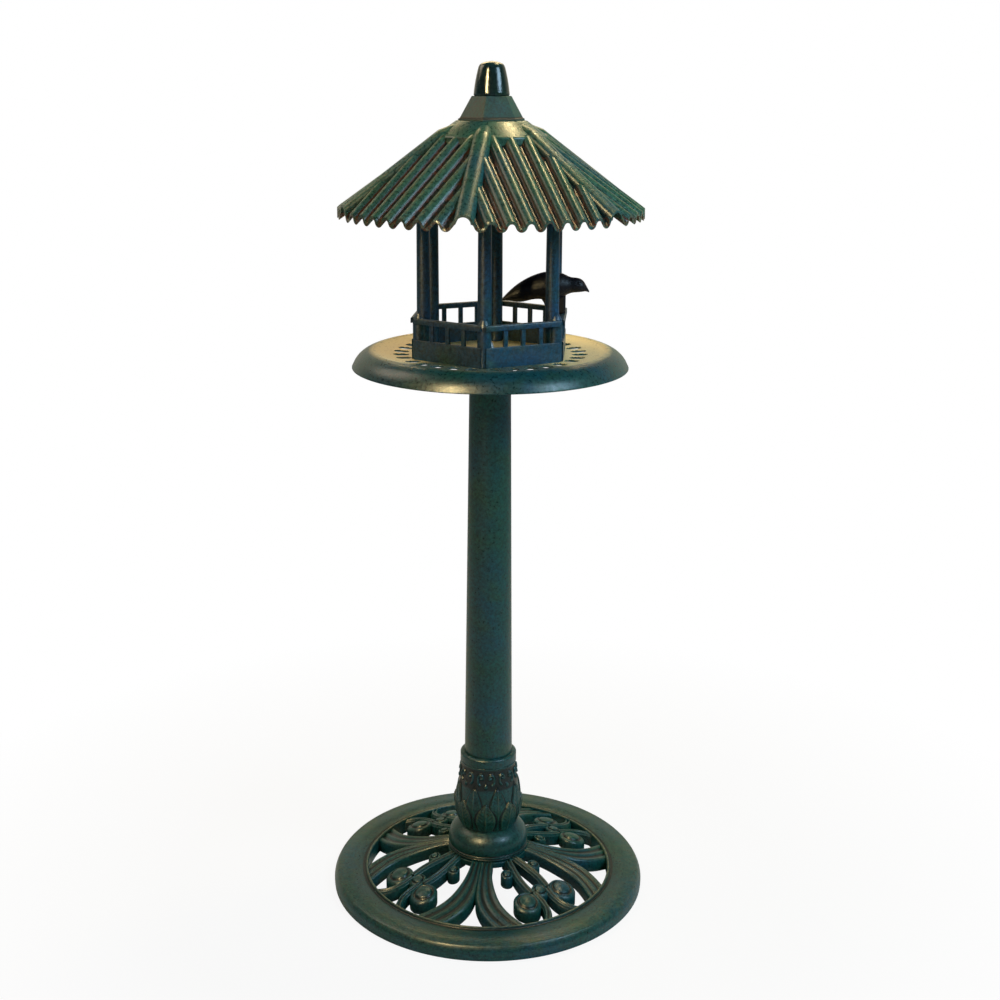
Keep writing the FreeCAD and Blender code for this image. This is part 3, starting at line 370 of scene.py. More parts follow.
def paint_nodes(tree, hue, roughness, hollow_colour, gilt, ground):
    """Satin paint in layers over the ground colour: bluer blotches of 90 mm, olive ones of 42 mm and dark
    mottling of 4 mm, all darkened and lightened in spots and roughened by a grain of 1.5 mm, then a second
    colour in the hollows and gilt on the crests, each broken up in places by a noise. The hollows' colour is
    painted shade, on the tray's floor a pale painted highlight, and on the roof rust with painted shade at
    the valleys' bottoms; the gilt on the hips' shoulders is partly a painted highlight."""
    where = add_node(tree, "ShaderNodeTexCoord").outputs["Object"]
    layer = {}
    for name, (size, detail, distortion) in PAINT_NOISES.items():
        layer[name] = add_node(tree, "ShaderNodeTexNoise", {
            "Vector": where, "Scale": 1000 / size, "Detail": detail, "Roughness": 0.6,
            "Distortion": distortion})
    mottle, grain = layer["mottle"], layer["grain"]
    for name, low, high in (("hollow", 0.1, 0.5), ("crest", 0.34, 0.66)):
        painted = add_node(tree, "ShaderNodeAttribute", attribute_name=name).outputs["Fac"]
        left = add_node(tree, "ShaderNodeMapRange", {"Value": layer[name], "From Min": low, "From Max": high})
        layer[name] = add_node(tree, "ShaderNodeMath", {0: painted, 1: left}, operation="MULTIPLY")
    colour = getattr(hue, ground)
    coats = [("blotch", 0.4, 0.75, "teal"), ("patch", 0.5, 0.85, "olive"), ("mottle", 0.62, 0.2, "shade"),
             ("hollow", 0.05, 0.5, hollow_colour)]
    # On the roof the bottoms of the valleys get painted shade, near black, under the rust
    if hollow_colour == "rust":
        coats.append(("hollow", 0.55, 0.9, "shade"))
    for name, low, high, coat in coats:
        share = add_node(tree, "ShaderNodeMapRange", {
            "Value": layer[name], "From Min": low, "From Max": high})
        colour = add_node(tree, "ShaderNodeMix", {0: share, 6: colour, 7: getattr(hue, coat)},
                          data_type="RGBA").outputs[2]
        if name == "mottle":
            lighter = add_node(tree, "ShaderNodeMapRange", {
                "Value": grain, "From Min": 0.3, "From Max": 0.7, "To Min": 0.8, "To Max": 1.2})
            colour = add_node(tree, "ShaderNodeMix", {0: 1.0, 6: colour, 7: lighter}, data_type="RGBA",
                              blend_type="MULTIPLY").outputs[2]
    rubbed = add_node(tree, "ShaderNodeMath", {0: layer["crest"], 1: gilt}, operation="MULTIPLY",
                      use_clamp=True)
    colour = add_node(tree, "ShaderNodeMix", {0: rubbed, 6: colour, 7: hue.gilt}, data_type="RGBA").outputs[2]
    rough = add_node(tree, "ShaderNodeMapRange", {
        "Value": mottle, "From Min": 0.3, "From Max": 0.7,
        "To Min": roughness - 0.08, "To Max": roughness + 0.12})
    bump = add_node(tree, "ShaderNodeBump", {"Height": grain, "Strength": 0.35, "Distance": 0.35 * MM})
    shader = add_node(tree, "ShaderNodeBsdfPrincipled", {
        "Base Color": colour, "Roughness": rough, "Normal": bump, "IOR": 1.49})
    add_node(tree, "ShaderNodeOutputMaterial", {"Surface": shader})


def moulded_plastic(context, name="verdigris"):
    """One of the paints on moulded polypropylene."""
    return new_material(context, "moulded_polypropylene_" + name, paint_nodes, *PAINTS[name])


def feather_nodes(tree, hue):
    """Black moulded plastic of the bird with a violet sheen: smooth, with a fine barb grain of 1.4 mm."""
    where = add_node(tree, "ShaderNodeTexCoord").outputs["Object"]
    blotch, barb = (add_node(tree, "ShaderNodeTexNoise", {"Vector": where, "Scale": 1000 / size})
                    for size in (14.0, 1.4))
    colour = add_node(tree, "ShaderNodeMix", {0: blotch, 6: hue.feather, 7: srgb("#0E0C14")},
                      data_type="RGBA")
    bump = add_node(tree, "ShaderNodeBump", {"Height": barb, "Strength": 0.3, "Distance": 0.2 * MM})
    shader = add_node(tree, "ShaderNodeBsdfPrincipled", {
        "Base Color": colour.outputs[2], "Roughness": 0.5, "Normal": bump, "IOR": 1.4,
        "Sheen Weight": 0.08, "Sheen Tint": srgb("#6A5CA0")})
    add_node(tree, "ShaderNodeOutputMaterial", {"Surface": shader})


def zinc_nodes(tree, hue):
    """Zinc-plated steel of the rod, nuts, washers and screws: satin metal with a cloudy 5 mm spangle."""
    where = add_node(tree, "ShaderNodeTexCoord").outputs["Object"]
    cloud = add_node(tree, "ShaderNodeTexNoise", {"Vector": where, "Scale": 1000 / 5.0, "Detail": 3.0})
    colour = add_node(tree, "ShaderNodeMix", {0: cloud, 6: hue.zinc, 7: srgb("#7E827F")}, data_type="RGBA")
    rough = add_node(tree, "ShaderNodeMapRange", {"Value": cloud, "To Min": 0.28, "To Max": 0.5})
    shader = add_node(tree, "ShaderNodeBsdfPrincipled", {
        "Base Color": colour.outputs[2], "Metallic": 1.0, "Roughness": rough})
    add_node(tree, "ShaderNodeOutputMaterial", {"Surface": shader})


# Base

BASE_TURN = math.radians(-4.0)
HUB_DEPTH = 9
# the scrollwork's cone starts this far under the ring's top, and nothing of it gets closer to the ground
CONE_DROP = 3.0
LOWEST = 0.5
# share of painted shade on the scrollwork's side walls
SIDE_SHADE = 0.3
# plan lines: share of the way from the hub to the opening, degrees from the lyre's axis
LYRE_ARM_OUTER = [(-0.06, 45.4), (0.26, 45.4), (0.58, 44.2), (0.79, 40), (1.06, 31.5)]
LYRE_ARM_INNER = [(-0.06, 28), (0.18, 32), (0.41, 31), (0.64, 28), (0.83, 23.5), (1.06, 17)]
LYRE_STEM = [(-0.08, 5), (0.18, 8), (0.42, 8), (0.56, 6.5)]
LYRE_HOOK = [(1.05, 10), (0.92, 6), (0.77, 4.2), (0.58, 5)]
# buttons: the middle in the same plan, radius, height of the dome, the groove's share of the radius
LYRE_BUD = ((0.56, 0), 14.0, 4.5, 0.62)
LYRE_EYE = ((0.68, 12.8), 22.0, 7.0, 0.66)
LYRE_CURL = ((0.2, 17), 10.0, 3.0, 0.6)


def ring_patch(size):
    """The base ring: its half section goes round the axis. The top is flat with a soft shoulder outside and
    a thin raised lip inside, behind a shallow groove."""
    outer, top, inner = size.base_radius, size.base_height, size.opening_radius
    section = section_of(
        [(outer - 3, 0), (outer - 0.4, 0, 1.2), (outer, 7, 1.0)],
        bow((outer, 7), (outer - 6.7, top), -2.0, 6),
        [(outer - 6.7, top, 1.6), (inner + 10, top - 0.2), (inner + 7.5, top - 1.6, 1.2),
         (inner + 5, top - 1.2, 1.0), (inner + 3.4, top + 2.4, 1.0), (inner + 1.1, top + 2.4, 1.0),
         (inner, top, 0.6), (inner, 0)],
    )
    out, up = section.T[:, :, None]
    # painted shade in the groove inside the top
    groove = ridge(out - (inner + 7), 4.0) * (up > 5)
    edge = ridge(out - (outer - 5.5), 4.0) * 0.15 * (up > 12)
    lip = ridge(out - (inner + 2.2), 2.5) * 0.5 * (up > top)
    return patch(turned(section, full_circle(288)), True, True, edge + lip, groove)


def cone_height(size, radius):
    """Height of the scrollwork's cone over a distance from the axis: a straight slope, level over the hub."""
    low = size.base_height - CONE_DROP
    slope = (size.hub_top - low) / (size.opening_radius - size.hub_radius)
    return np.minimum(low + slope * (size.opening_radius - radius), size.hub_top - 0.6)


def lyre_points(size, pairs):
    """Plan points from (share of the way from hub to opening, degrees from the lyre's axis)."""
    share, angle = np.array(pairs, float).T
    radius = size.hub_radius + share * (size.opening_radius - size.hub_radius)
    angle = np.radians(angle)
    return joined(radius * np.cos(angle), radius * np.sin(angle))


def rib_patch(size, left, right, relief, groove, lift=0.0):
    """A rib between two plan lines: a point is the blend of the two by share s, at the cone's height plus
    relief(s), with side walls down to the openwork's depth and closed ends."""
    share = np.linspace(0, 1, 25)[:, None]
    x, y = np.moveaxis(left * (1 - share[..., None]) + right * share[..., None], -1, 0)
    cone = cone_height(size, np.hypot(x, y))
    upper = joined(x, y, cone + relief(share) + lift)
    lower = joined(x, y, np.maximum(cone - size.openwork_depth, LOWEST))
    loop = np.concatenate([upper, lower[[-1, 0]]]).transpose(1, 0, 2)
    # painted shade in the channels and down the side walls
    shade = np.append(groove(share), [SIDE_SHADE, SIDE_SHADE])
    crest = np.append(np.clip(relief(share) - 1.6, 0, 1) * 0.2, [0, 0])
    return patch(closed_tube(loop), False, True, crest, shade)


def arm_relief(share):
    """Beads along both edges and a rib in the middle, with rounded corners."""
    beads = ridge(share - 0.13, 0.15) + ridge(share - 0.87, 0.15) + 0.75 * ridge(share - 0.5, 0.14)
    corner = step(0, 0.06, share) * step(0, 0.06, 1 - share)
    return 2.6 * beads - 2.4 * (1 - corner)


def arm_groove(share):
    """The shaded channels between the beads and the rib."""
    return ridge(share - 0.315, 0.11) + ridge(share - 0.685, 0.11)


def band_relief(share):
    """A round-topped band with a shallow channel along its middle."""
    corner = step(0, 0.22, share) * step(0, 0.22, 1 - share)
    return 2.2 * corner - 2.2 * (1 - corner) - 1.8 * ridge(share - 0.5, 0.2)


def band_groove(share):
    """The shaded channel along the middle."""
    return 0.8 * ridge(share - 0.5, 0.16)


def offset_lines(route, width):
    """The two lines at half the width to either side of a smooth plan route."""
    along = np.gradient(route, axis=0)
    along = along / np.linalg.norm(along, axis=1)[:, None]
    side = joined(-along[:, 1], along[:, 0]) * width / 2
    return route + side, route - side


def button_patch(size, middle, radius, dome, ring, side):
    """A domed button on the cone: height dome (1 - (d/r)^2) over the distance d from its middle, with a
    groove at the ring share of the radius, and an upright wall below."""
    centre = lyre_points(size, [middle])[0] * side
    share = np.append(0, np.linspace(0.08, 1, 22))[:, None]
    angle = full_circle(40)
    x = centre[0] + radius * share * np.cos(angle)
    y = centre[1] + radius * share * np.sin(angle)
    cone = cone_height(size, np.hypot(x, y))
    cut = ridge(share - ring, 0.13)
    tall = cone + (dome * (1 - share ** 2) - 1.5 * step(0.9, 1, share) - 2.6 * cut)
    floor = np.maximum(cone[-1:] - size.openwork_depth, LOWEST)
    points = np.concatenate([joined(x, y, tall), joined(x[-1:], y[-1:], floor),
                             joined(centre[0], centre[1], 0 * floor + floor.mean())])
    # painted shade in the groove and down the wall
    hollow = np.append(cut * 0.9, [SIDE_SHADE, SIDE_SHADE])
    return patch(points, False, True, 0.0, hollow[:, None])


def lyre_patches(size):
    """One lyre along +X: two ribbed arms, two stems, two hooks that end in domed eyes, curls and a bud."""
    parts = [button_patch(size, *LYRE_BUD, (1, 1))]
    for side in ((1, 1), (1, -1)):
        outer, inner, stem, hook = (smooth_line(lyre_points(size, pairs), 40) * side
                                    for pairs in (LYRE_ARM_OUTER, LYRE_ARM_INNER, LYRE_STEM, LYRE_HOOK))
        parts.append(rib_patch(size, outer, inner, arm_relief, arm_groove))
        for path, width, lift in ((stem, 13.0, 0.8), (hook, 12.0, 1.2)):
            parts.append(rib_patch(size, *offset_lines(path, width), band_relief, band_groove, lift))
        parts += [button_patch(size, *button, side) for button in (LYRE_EYE, LYRE_CURL)]
    return parts


class BIRDTABLE_OT_base(bpy.types.Operator):
    """Build the base: flat ring, hub and four openwork lyres"""

    bl_idname = "bird_table.base"
    bl_label = "Base"

    def execute(self, context):
        size = sizes(context)
        hub = rounded([(ROD_HOLE, size.hub_top - HUB_DEPTH), (size.hub_radius, size.hub_top - HUB_DEPTH),
                       (size.hub_radius, size.hub_top, 1.2), (ROD_HOLE, size.hub_top)])
        parts = [ring_patch(size), patch(turned(hub, full_circle(96)), True, True)]
        lyre = lyre_patches(size)
        for number in range(MOTIFS):
            parts += placed(lyre, BASE_TURN + (number + 0.5) * math.tau / MOTIFS)
        make_piece("base_openwork", parts, moulded_plastic(context), "stand", ["base_scrollwork"],
                   50.0)
        return {"FINISHED"}


# Column, its foot and its collar

# radius of the bell foot's spigot, which stands in the column
SPIGOT = 36
BELL_WALL = 4
LOW_BEAD, HIGH_BEAD = 5.2, 9.3
COLUMN_WALL = 3
COLLAR_LEAVES = 8
LEAF_PITCH = math.tau / COLLAR_LEAVES
# height and thickness of the collar's plain wall over the column
COLLAR_WALL = [(0, 5.0), (2, 5.2), (20, 11.2), (40, 12.2), (62, 9.6), (84, 6.0), (106, 3.4), (108, 3.4)]


class BIRDTABLE_OT_column(bpy.types.Operator):
    """Build the bell foot, the leaf collar and the column"""

    bl_idname = "bird_table.column"
    bl_label = "Column"

    def execute(self, context):
        size = sizes(context)
        finish = moulded_plastic(context)
        around = full_circle(128)
        seat, top = size.hub_top, size.column_seat
        foot, waist = size.foot_radius, size.column_foot_radius + 4.9
        bell = section_of(
            [(foot - 3, seat), (foot, seat + 2.6, 1.4), (foot, seat + 4.2, 0.8),
             (foot - 1.8, seat + LOW_BEAD, 0.8), (foot, seat + 6.3, 0.8), (foot, seat + 8.2, 0.8),
             (foot - 2, seat + HIGH_BEAD, 0.8), (foot - 0.6, seat + 10.6)],
            bow((foot - 0.6, seat + 10.6), (waist, top - 1.5), -7.5, 16),
            [(waist, top - 1.5), (waist, top, 0.8), (SPIGOT, top), (SPIGOT, top + 30), (ROD_HOLE, top + 30),
             (ROD_HOLE, top - BELL_WALL), (waist - BELL_WALL, top - BELL_WALL)],
            bow((waist - BELL_WALL, top - BELL_WALL), (foot - BELL_WALL, seat + 9), 7.0, 10),
            [(foot - BELL_WALL, seat + 9), (foot - BELL_WALL, seat)],
        )
        out, up = bell.T[:, :, None]
        # shaded grooves beside the two beads, on the outer face only
        groove = (ridge(up - seat - LOW_BEAD, 1.4) + ridge(up - seat - HIGH_BEAD, 1.4)) * (out > 60)
        make_piece("foot_bell", [patch(turned(bell, around), True, True, 0.0, groove)], finish, "stand",
                   ["bell_foot"])

        lower, upper = size.column_foot_radius, size.column_head_radius
        tube = [(lower - COLUMN_WALL, top), (lower, top), (upper, size.tray_seat),
                (upper - COLUMN_WALL, size.tray_seat)]
        shaft = np.concatenate([np.linspace(tube[i], tube[(i + 1) % 4], 24 if i in (1, 3) else 2)[:-1]
                                for i in range(4)])
        make_piece("column_shaft", [patch(turned(shaft, around), True, True)], finish, "stand", ["column"])
        make_piece("collar_leaves", [collar_patch(size, top)], finish, "stand", ["leaf_collar"],
                   60.0)
        return {"FINISHED"}


def collar_patch(size, seat):
    """The collar: radius = vase profile(z) + leaves + scrolls, over the angle and the height. A leaf is a
    pointed tongue with a raised edge, a middle vein and slanting side veins; a scroll is a rounded ridge
    along a spiral."""
    inner = size.column_foot_radius + 0.3
    tall = size.collar_height
    z = np.concatenate([np.linspace(0, 106, 150), np.linspace(106.4, 110.5, 14), np.linspace(111, 125, 16)])
    vase = inner + np.interp(z, *np.transpose(COLLAR_WALL))
    vase = np.where(z > 106, inner + 3.4 + 2.0 * step(107.6, 108.4, z) * (1 - step(109.8, 110.8, z)), vase)
    vase = np.where(z > 110.8, inner + 5.3 - 2.5 * step(122.5, 125, z), vase)
    angle = full_circle(384)
    grid_z, grid_a = np.meshgrid(z, angle, indexing="ij")

    def across_leaf(offset, radius):
        """How far a place is to the left or right of the middle of its leaf, on the curved wall."""
        return ((grid_a - offset + LEAF_PITCH / 2) % LEAF_PITCH - LEAF_PITCH / 2) * radius

    def leaves(offset, height, width, lift):
        """A ring of leaves: how far it stands out, the gap round each leaf, and where the leaves are."""
        foot = 1.0
        across = across_leaf(offset, 50)
        up = np.clip((grid_z - foot) / height, 0, 1)
        half = width * np.sin(math.pi * (0.30 + 0.70 * up) ** 1.15) ** 0.8 + 0.001
        inside = (grid_z >= foot - 0.5) & (grid_z <= foot + height)
        share = np.abs(across) / half
        body = step(1.05, 0.86, share) * inside
        rim = ridge(share - 0.86, 0.16) * inside
        vein = ridge(across, 1.3 + 1.2 * (1 - up)) * inside * (up < 0.93)
        slant = np.cos(math.tau * (grid_z - foot - np.abs(across) * 1.1) / 7.0)
        veins = np.clip(slant, 0, 1) * step(0.12, 0.3, share) * step(0.85, 0.7, share) * inside
        cup = 1.2 * step(0.2, 0.9, up) * body
        form = body * lift + 0.9 * rim + 1.3 * vein + 0.55 * veins * body + cup
        return form, ridge(share - 1.08, 0.16) * inside, body

    front = -math.pi / 2
    front_form, front_gap, front_body = leaves(front, 50.0, 16.0, 2.0)
    back_form, back_gap, _ = leaves(front + LEAF_PITCH / 2, 78.0, 15.0, 1.1)
    relief = np.where(front_body > 0.3, front_form, back_form * (1 - front_body))
    # painted shade in the gaps round the leaves
    shade = np.maximum(front_gap, back_gap * (1 - front_body))

    # pairs of C scrolls stand on the leaf tips under the ring line
    local = across_leaf(front, 46)
    spiral = np.linspace(0, 1, 60)
    turns = math.radians(250) * spiral - math.radians(70)
    reach = 8.2 * (1 - 0.72 * spiral)
    scroll_x = 7.6 + reach * np.cos(turns) * 0.92
    scroll_z = 93.0 + reach * np.sin(turns) * 1.35
    distance = np.full_like(grid_z, 1e3)
    for x, level in zip(scroll_x, scroll_z):
        distance = np.minimum(distance, np.hypot(np.abs(local) - x, grid_z - level))
    bead = np.hypot(np.abs(local) - 8.3, grid_z - 93.2)
    drop = np.hypot(local, (grid_z - 80) * 0.7)
    scroll = 3.0 * ridge(distance, 2.6) + 2.4 * ridge(bead, 3.0) + 2.4 * ridge(drop, 4.0)
    panel = step(70, 76, grid_z) * step(107, 104, grid_z)
    relief = relief * (1 - 0.6 * panel) + scroll * panel
    # painted shade round the scrolls in the panel
    shade = np.maximum(shade, panel * (1 - np.clip(scroll, 0, 1)) * 0.9)
    relief *= step(107.5, 105.5, grid_z)
    shade *= step(108.2, 106.5, grid_z)
    radius = vase[:, None] + relief
    outside = joined(radius * np.cos(grid_a), radius * np.sin(grid_a), seat + grid_z)
    taper = (size.column_foot_radius - size.column_head_radius) / size.column_height
    bore = turned([(inner - taper * tall, seat + tall), (inner, seat)], angle)
    tones = [np.pad(tone, ((0, 2), (0, 0))) for tone in (np.clip(relief - 2.6, 0, 1) * 0.35, shade)]
    return patch(np.concatenate([outside, bore]), True, True, *tones)


# Tray

SLOTS_PER_SIDE = 5
SLOT_PITCH = math.radians(11.5)
SLOT_ZONE = (119.6, 148.4)
SLOT_HALF_LENGTH = 12.0
SLOT_HALF_WIDTH = 8.5
# thickness of the floor at the edge of a slot
SLOT_EDGE = 1.2
CELL_STEPS = 8
PLAIN_STEPS = 3
# radius where the level floor ends
FLOOR_EDGE = 129
CREST_HEIGHT = 10
RIM_LOW = -16.5
SOCKET_DEPTH = 22
SOCKET_WALL = 4


def tray_painted_highlight(size, radius, angle):
    """How much pale painted highlight a place gets, for the glossy reflection of light from above: over the
    floor at both sides and behind, little in front of the fence, where the fence's shadow is painted, none on
    the rim."""
    crest = size.tray_crest_radius
    return step(crest + 12, crest - 16, radius) * (0.1 + 0.9 * step(0.8, 0.45, -np.sin(angle)))


def tray_height(size, radius):
    """Height of the tray's upper face over a distance from the axis: level floor, then a shallow dish."""
    share = np.clip((radius - FLOOR_EDGE) / (size.tray_crest_radius - FLOOR_EDGE), 0, 1)
    return size.tray_wall + (CREST_HEIGHT - size.tray_wall) * share - 6.4 * share * (1 - share) * 0.95


def cell_ring(low, high, radii, count):
    """The closed outline of a cell of the floor, between two angles and two radii, count steps a side."""
    corners = [(radii[0], low), (radii[0], high), (radii[1], high), (radii[1], low), (radii[0], low)]
    sides = [np.linspace(start, end, count + 1)[:-1] for start, end in zip(corners, corners[1:])]
    radius, angle = np.concatenate(sides).T
    return joined(radius * np.cos(angle), radius * np.sin(angle))


def slot_patches(size, middle):
    """One drain slot in its cell. A point goes from the slot's outline (share 0) straight to the cell's
    (share 1); the outline is a stadium, on the upper face and the underside, with a wall between them."""
    outer = cell_ring(-SLOT_PITCH / 2, SLOT_PITCH / 2, SLOT_ZONE, CELL_STEPS)
    centre = (SLOT_ZONE[0] + SLOT_ZONE[1]) / 2
    toward = outer - (centre, 0)
    straight = SLOT_HALF_LENGTH - SLOT_HALF_WIDTH
    spine = np.clip(toward[:, 0] * straight / (centre - SLOT_ZONE[0]), -straight, straight)
    reach = toward - joined(spine, 0)
    reach = reach / np.linalg.norm(reach, axis=1)[:, None]
    inner = joined(centre + spine, 0) + reach * SLOT_HALF_WIDTH
    share = np.array([0, 0.12, 0.3, 0.6, 1])[:, None]
    x, y = np.moveaxis(inner * (1 - share[..., None]) + outer * share[..., None], -1, 0)
    radius = np.hypot(x, y)
    tall = tray_height(size, radius)
    upper = joined(x, y, tall - np.array([0.5, 0.1, 0, 0, 0])[:, None])
    lower = joined(x, y, tall - (SLOT_EDGE + (size.tray_wall - SLOT_EDGE) * step(0, 0.3, share)))
    # pale painted highlight on the slot cells' upper face
    painted_floor_highlight = tray_painted_highlight(size, radius, middle + np.arctan2(y, x))
    return placed([patch(upper, False, True, 0.0, painted_floor_highlight), patch(lower, False, True),
                   patch(np.stack([upper[0], lower[0]]), False, True)], middle)


def tray_patches(size):
    """The tray: its half section goes round the axis, apart from the zone of the drain slots, which is made
    of cells, with a plain strip between two sides of the fence."""
    wall, crest, edge = size.tray_wall, size.tray_crest_radius, size.tray_radius
    slotted = SLOTS_PER_SIDE * SLOT_PITCH
    plain = SIDE_ANGLE - slotted
    zone = np.linspace(*SLOT_ZONE, CELL_STEPS + 1)
    angles, slots, strips = [], [], []
    for side in range(SIDES):
        start = side * SIDE_ANGLE - slotted / 2
        for number in range(SLOTS_PER_SIDE):
            low = start + number * SLOT_PITCH
            slots += slot_patches(size, low + SLOT_PITCH / 2)
            angles.append(low + np.arange(CELL_STEPS) * SLOT_PITCH / CELL_STEPS)
        angles.append(start + slotted + np.arange(PLAIN_STEPS) * plain / PLAIN_STEPS)
        gap = side * SIDE_ANGLE + slotted / 2 + np.linspace(0, plain, PLAIN_STEPS + 1)
        for drop in (0, wall):
            # pale painted highlight on the upper face of the strip only
            painted_floor_highlight = tray_painted_highlight(size, zone[:, None], gap) * (drop == 0)
            strips.append(patch(turned(joined(zone, tray_height(size, zone) - drop), gap), hollow=painted_floor_highlight))
    angles = np.concatenate(angles)

    socket = size.column_head_radius + 0.6
    dish = np.linspace(SLOT_ZONE[1], crest - 3, 8)
    outside = section_of(
        joined(dish, tray_height(size, dish)),
        [(crest - 3, 9.5), (crest, CREST_HEIGHT + 0.6, 2.4), (crest + 3, CREST_HEIGHT)],
        bow((crest + 3, CREST_HEIGHT), (edge, RIM_LOW), 5.4, 14),
        [(edge, RIM_LOW + 1), (edge, RIM_LOW, 0.7), (edge - wall, RIM_LOW, 0.7), (edge - wall, RIM_LOW + 1)],
        bow((edge - wall, RIM_LOW), (crest, CREST_HEIGHT - wall), -5.4, 12),
        joined(dish[::-1], tray_height(size, dish[::-1]) - wall),
    )
    inside = section_of(
        joined(np.linspace(SLOT_ZONE[0], ROD_HOLE, 12), wall),
        [(ROD_HOLE, wall - 0.1), (ROD_HOLE, 0), (socket, 0), (socket, -SOCKET_DEPTH),
         (socket + SOCKET_WALL, -SOCKET_DEPTH, 0.8), (socket + 6, 0)],
        joined(np.linspace(socket + 7, SLOT_ZONE[0], 8), 0),
    )
    parts = slots + strips
    for section, depth in ((outside, 1), (inside, 0.05)):
        out, up = section.T[:, :, None]
        gilt = ridge(out - crest, 9) * 0.45 * (up > 8)
        # pale painted highlight on the floor's upper faces
        painted_floor_highlight = tray_painted_highlight(size, out, angles) * (up > tray_height(size, out) - depth)
        parts.append(patch(turned(section, angles), False, True, gilt, painted_floor_highlight))
    return parts


class BIRDTABLE_OT_tray(bpy.types.Operator):
    """Build the tray with its drain slots and rolled rim"""

    bl_idname = "bird_table.tray"
    bl_label = "Tray"

    def execute(self, context):
        size = sizes(context)
        parts = placed(tray_patches(size), shift=(0, 0, size.tray_seat))
        make_piece("tray_dish", parts, moulded_plastic(context, "verdigris_tray"), "stand", ["tray"],
                   50.0)
        return {"FINISHED"}


# Posts and fence

POST_STEPS = 48
PEG_RADIUS = 6
PEG_HEIGHT = 5.5
# the low corner uprights of the fence, outside the posts
UPRIGHT_RADIUS = 9.6
UPRIGHT_OFFSET = 7.0
SKIRT_WIDTH = 5.0
RAIL_SIZE = 8.0
CORNER_GAP = 5.0
BALUSTER_PITCH = 28.0
BALUSTER_HALF = (2.4, 3.25)


def baluster_patch(out, middle, foot, head, edge=0.8):
    """An upright bar with rounded edges: its rounded section is carried up, drawn in over the two ends."""
    half, tall = np.array(BALUSTER_HALF), (head - foot) / 2
    section = rounded([(half[0] * x, half[1] * y, edge) for x, y in ((1, 1), (-1, 1), (-1, -1), (1, -1))])
    bend = np.linspace(0, math.pi / 2, 5)
    draw = edge * (1 - np.sin(bend))
    rise = tall - edge * (1 - np.cos(bend))
    inset = np.append(draw, draw[::-1])[:, None, None]
    x, y = np.moveaxis(section * (1 - inset / half), -1, 0)
    tube = closed_tube(joined(x, y, np.append(-rise, rise[::-1])[:, None]))
    return patch(tube + (out, middle, (foot + head) / 2), False, True)


def fence_line(size):
    """How far from the axis the middle of the fence stands, outside the posts."""
    return size.post_ring_radius * math.cos(SIDE_ANGLE / 2) + size.fence_offset


def mitred_patch(out, width, low, high, round_edge, crest):
    """One side of the fence's outline: a rounded section goes along y between the planes through the
    corners, y = -(x tan 30 - gap) and y = x tan 30 - gap, which lie inside the corner uprights."""
    half = width / 2
    x, z = rounded([(out + half, high, round_edge), (out - half, high, round_edge),
                    (out - half, low, 0.3), (out + half, low, 0.3)]).T
    reach = x * math.tan(SIDE_ANGLE / 2) - CORNER_GAP
    rings = joined(x, np.linspace(-1, 1, 9)[:, None] * reach, z)
    return patch(closed_tube(rings), False, True, crest * step(high - 3, high - 1, z))


def panel_patches(size):
    """A fence panel on the +X side: skirt and three balusters under a rail."""
    out = fence_line(size)
    top, sill = size.floor + size.fence_height, size.floor + size.skirt_height
    foot = top - RAIL_SIZE
    parts = [mitred_patch(out, SKIRT_WIDTH, size.floor, sill, 1.0, 0.2),
             mitred_patch(out, RAIL_SIZE, foot, top, 2.0, 0.4)]
    return parts + [baluster_patch(out, middle, sill - 3, foot + 2)
                    for middle in (-BALUSTER_PITCH, 0.0, BALUSTER_PITCH)]


class BIRDTABLE_OT_house(bpy.types.Operator):
    """Build the six posts and the six fence panels"""

    bl_idname = "bird_table.house"
    bl_label = "Posts and fence"

    def execute(self, context):
        size = sizes(context)
        # painted shade: the posts and fence get the darker, bluer copy of the paint
        finish = moulded_plastic(context, "verdigris_house_shaded")
        floor, foot, head = size.floor, size.post_foot_radius, size.post_head_radius
        top, rail = floor + size.post_height, floor + size.fence_height
        shaft = section_of([(0, floor), (foot - 0.6, floor), (foot, floor + 0.8, 0.5), (head, top, 0.3),
                            (PEG_RADIUS, top), (PEG_RADIUS, top + PEG_HEIGHT), (0, top + PEG_HEIGHT)])
        upright = section_of([(0, floor), (UPRIGHT_RADIUS - 0.6, floor), (UPRIGHT_RADIUS, floor + 0.8, 0.5),
                              (UPRIGHT_RADIUS, rail - 2, 3.0), (4.5, rail + 8, 3.0), (0, rail + 11)])
        for number, name in enumerate(POST_NAMES):
            out = np.array([math.cos((number + 0.5) * SIDE_ANGLE), math.sin((number + 0.5) * SIDE_ANGLE), 0])
            parts = [patch(place(turned(section, full_circle(POST_STEPS)), 0.0, reach * out), False, True)
                     for section, reach in ((shaft, size.post_ring_radius),
                                            (upright, size.post_ring_radius + UPRIGHT_OFFSET))]
            make_piece("house_post_" + name, parts, finish, "stand", ["post_" + name])
        for number, name in enumerate(PANEL_NAMES):
            parts = placed(panel_patches(size), number * SIDE_ANGLE)
            make_piece("fence_" + name, parts, finish, "stand", ["panel_" + name])
        return {"FINISHED"}


# Roof

ROOF_TURN = math.radians(-5.0)
NECK_TURN = math.radians(-11.0)
RIBS_PER_SECTOR = 7
SCREW_HOLE = 4
CROWN_PLATE = 6
SKIRT_RADIUS = 128.3
SKIRT_WALL = 3.5
SKIRT_LIP = 10
FLANGE_WIDTH = 10.5
CAP_RADIUS = 19.2


def roof_fall(size):
    """How much the cone falls for each millimetre out, and how much longer its slope is than its plan."""
    fall = (size.roof_height + size.eave_drop) / (size.eave_radius - size.roof_top_radius)
    return fall, math.hypot(1, fall)


def roof_cone(size, radius):
    """Height of the cone, over the top ring, that the ends of the crests lie on."""
    return size.roof_height - (radius - size.roof_top_radius) * roof_fall(size)[0]


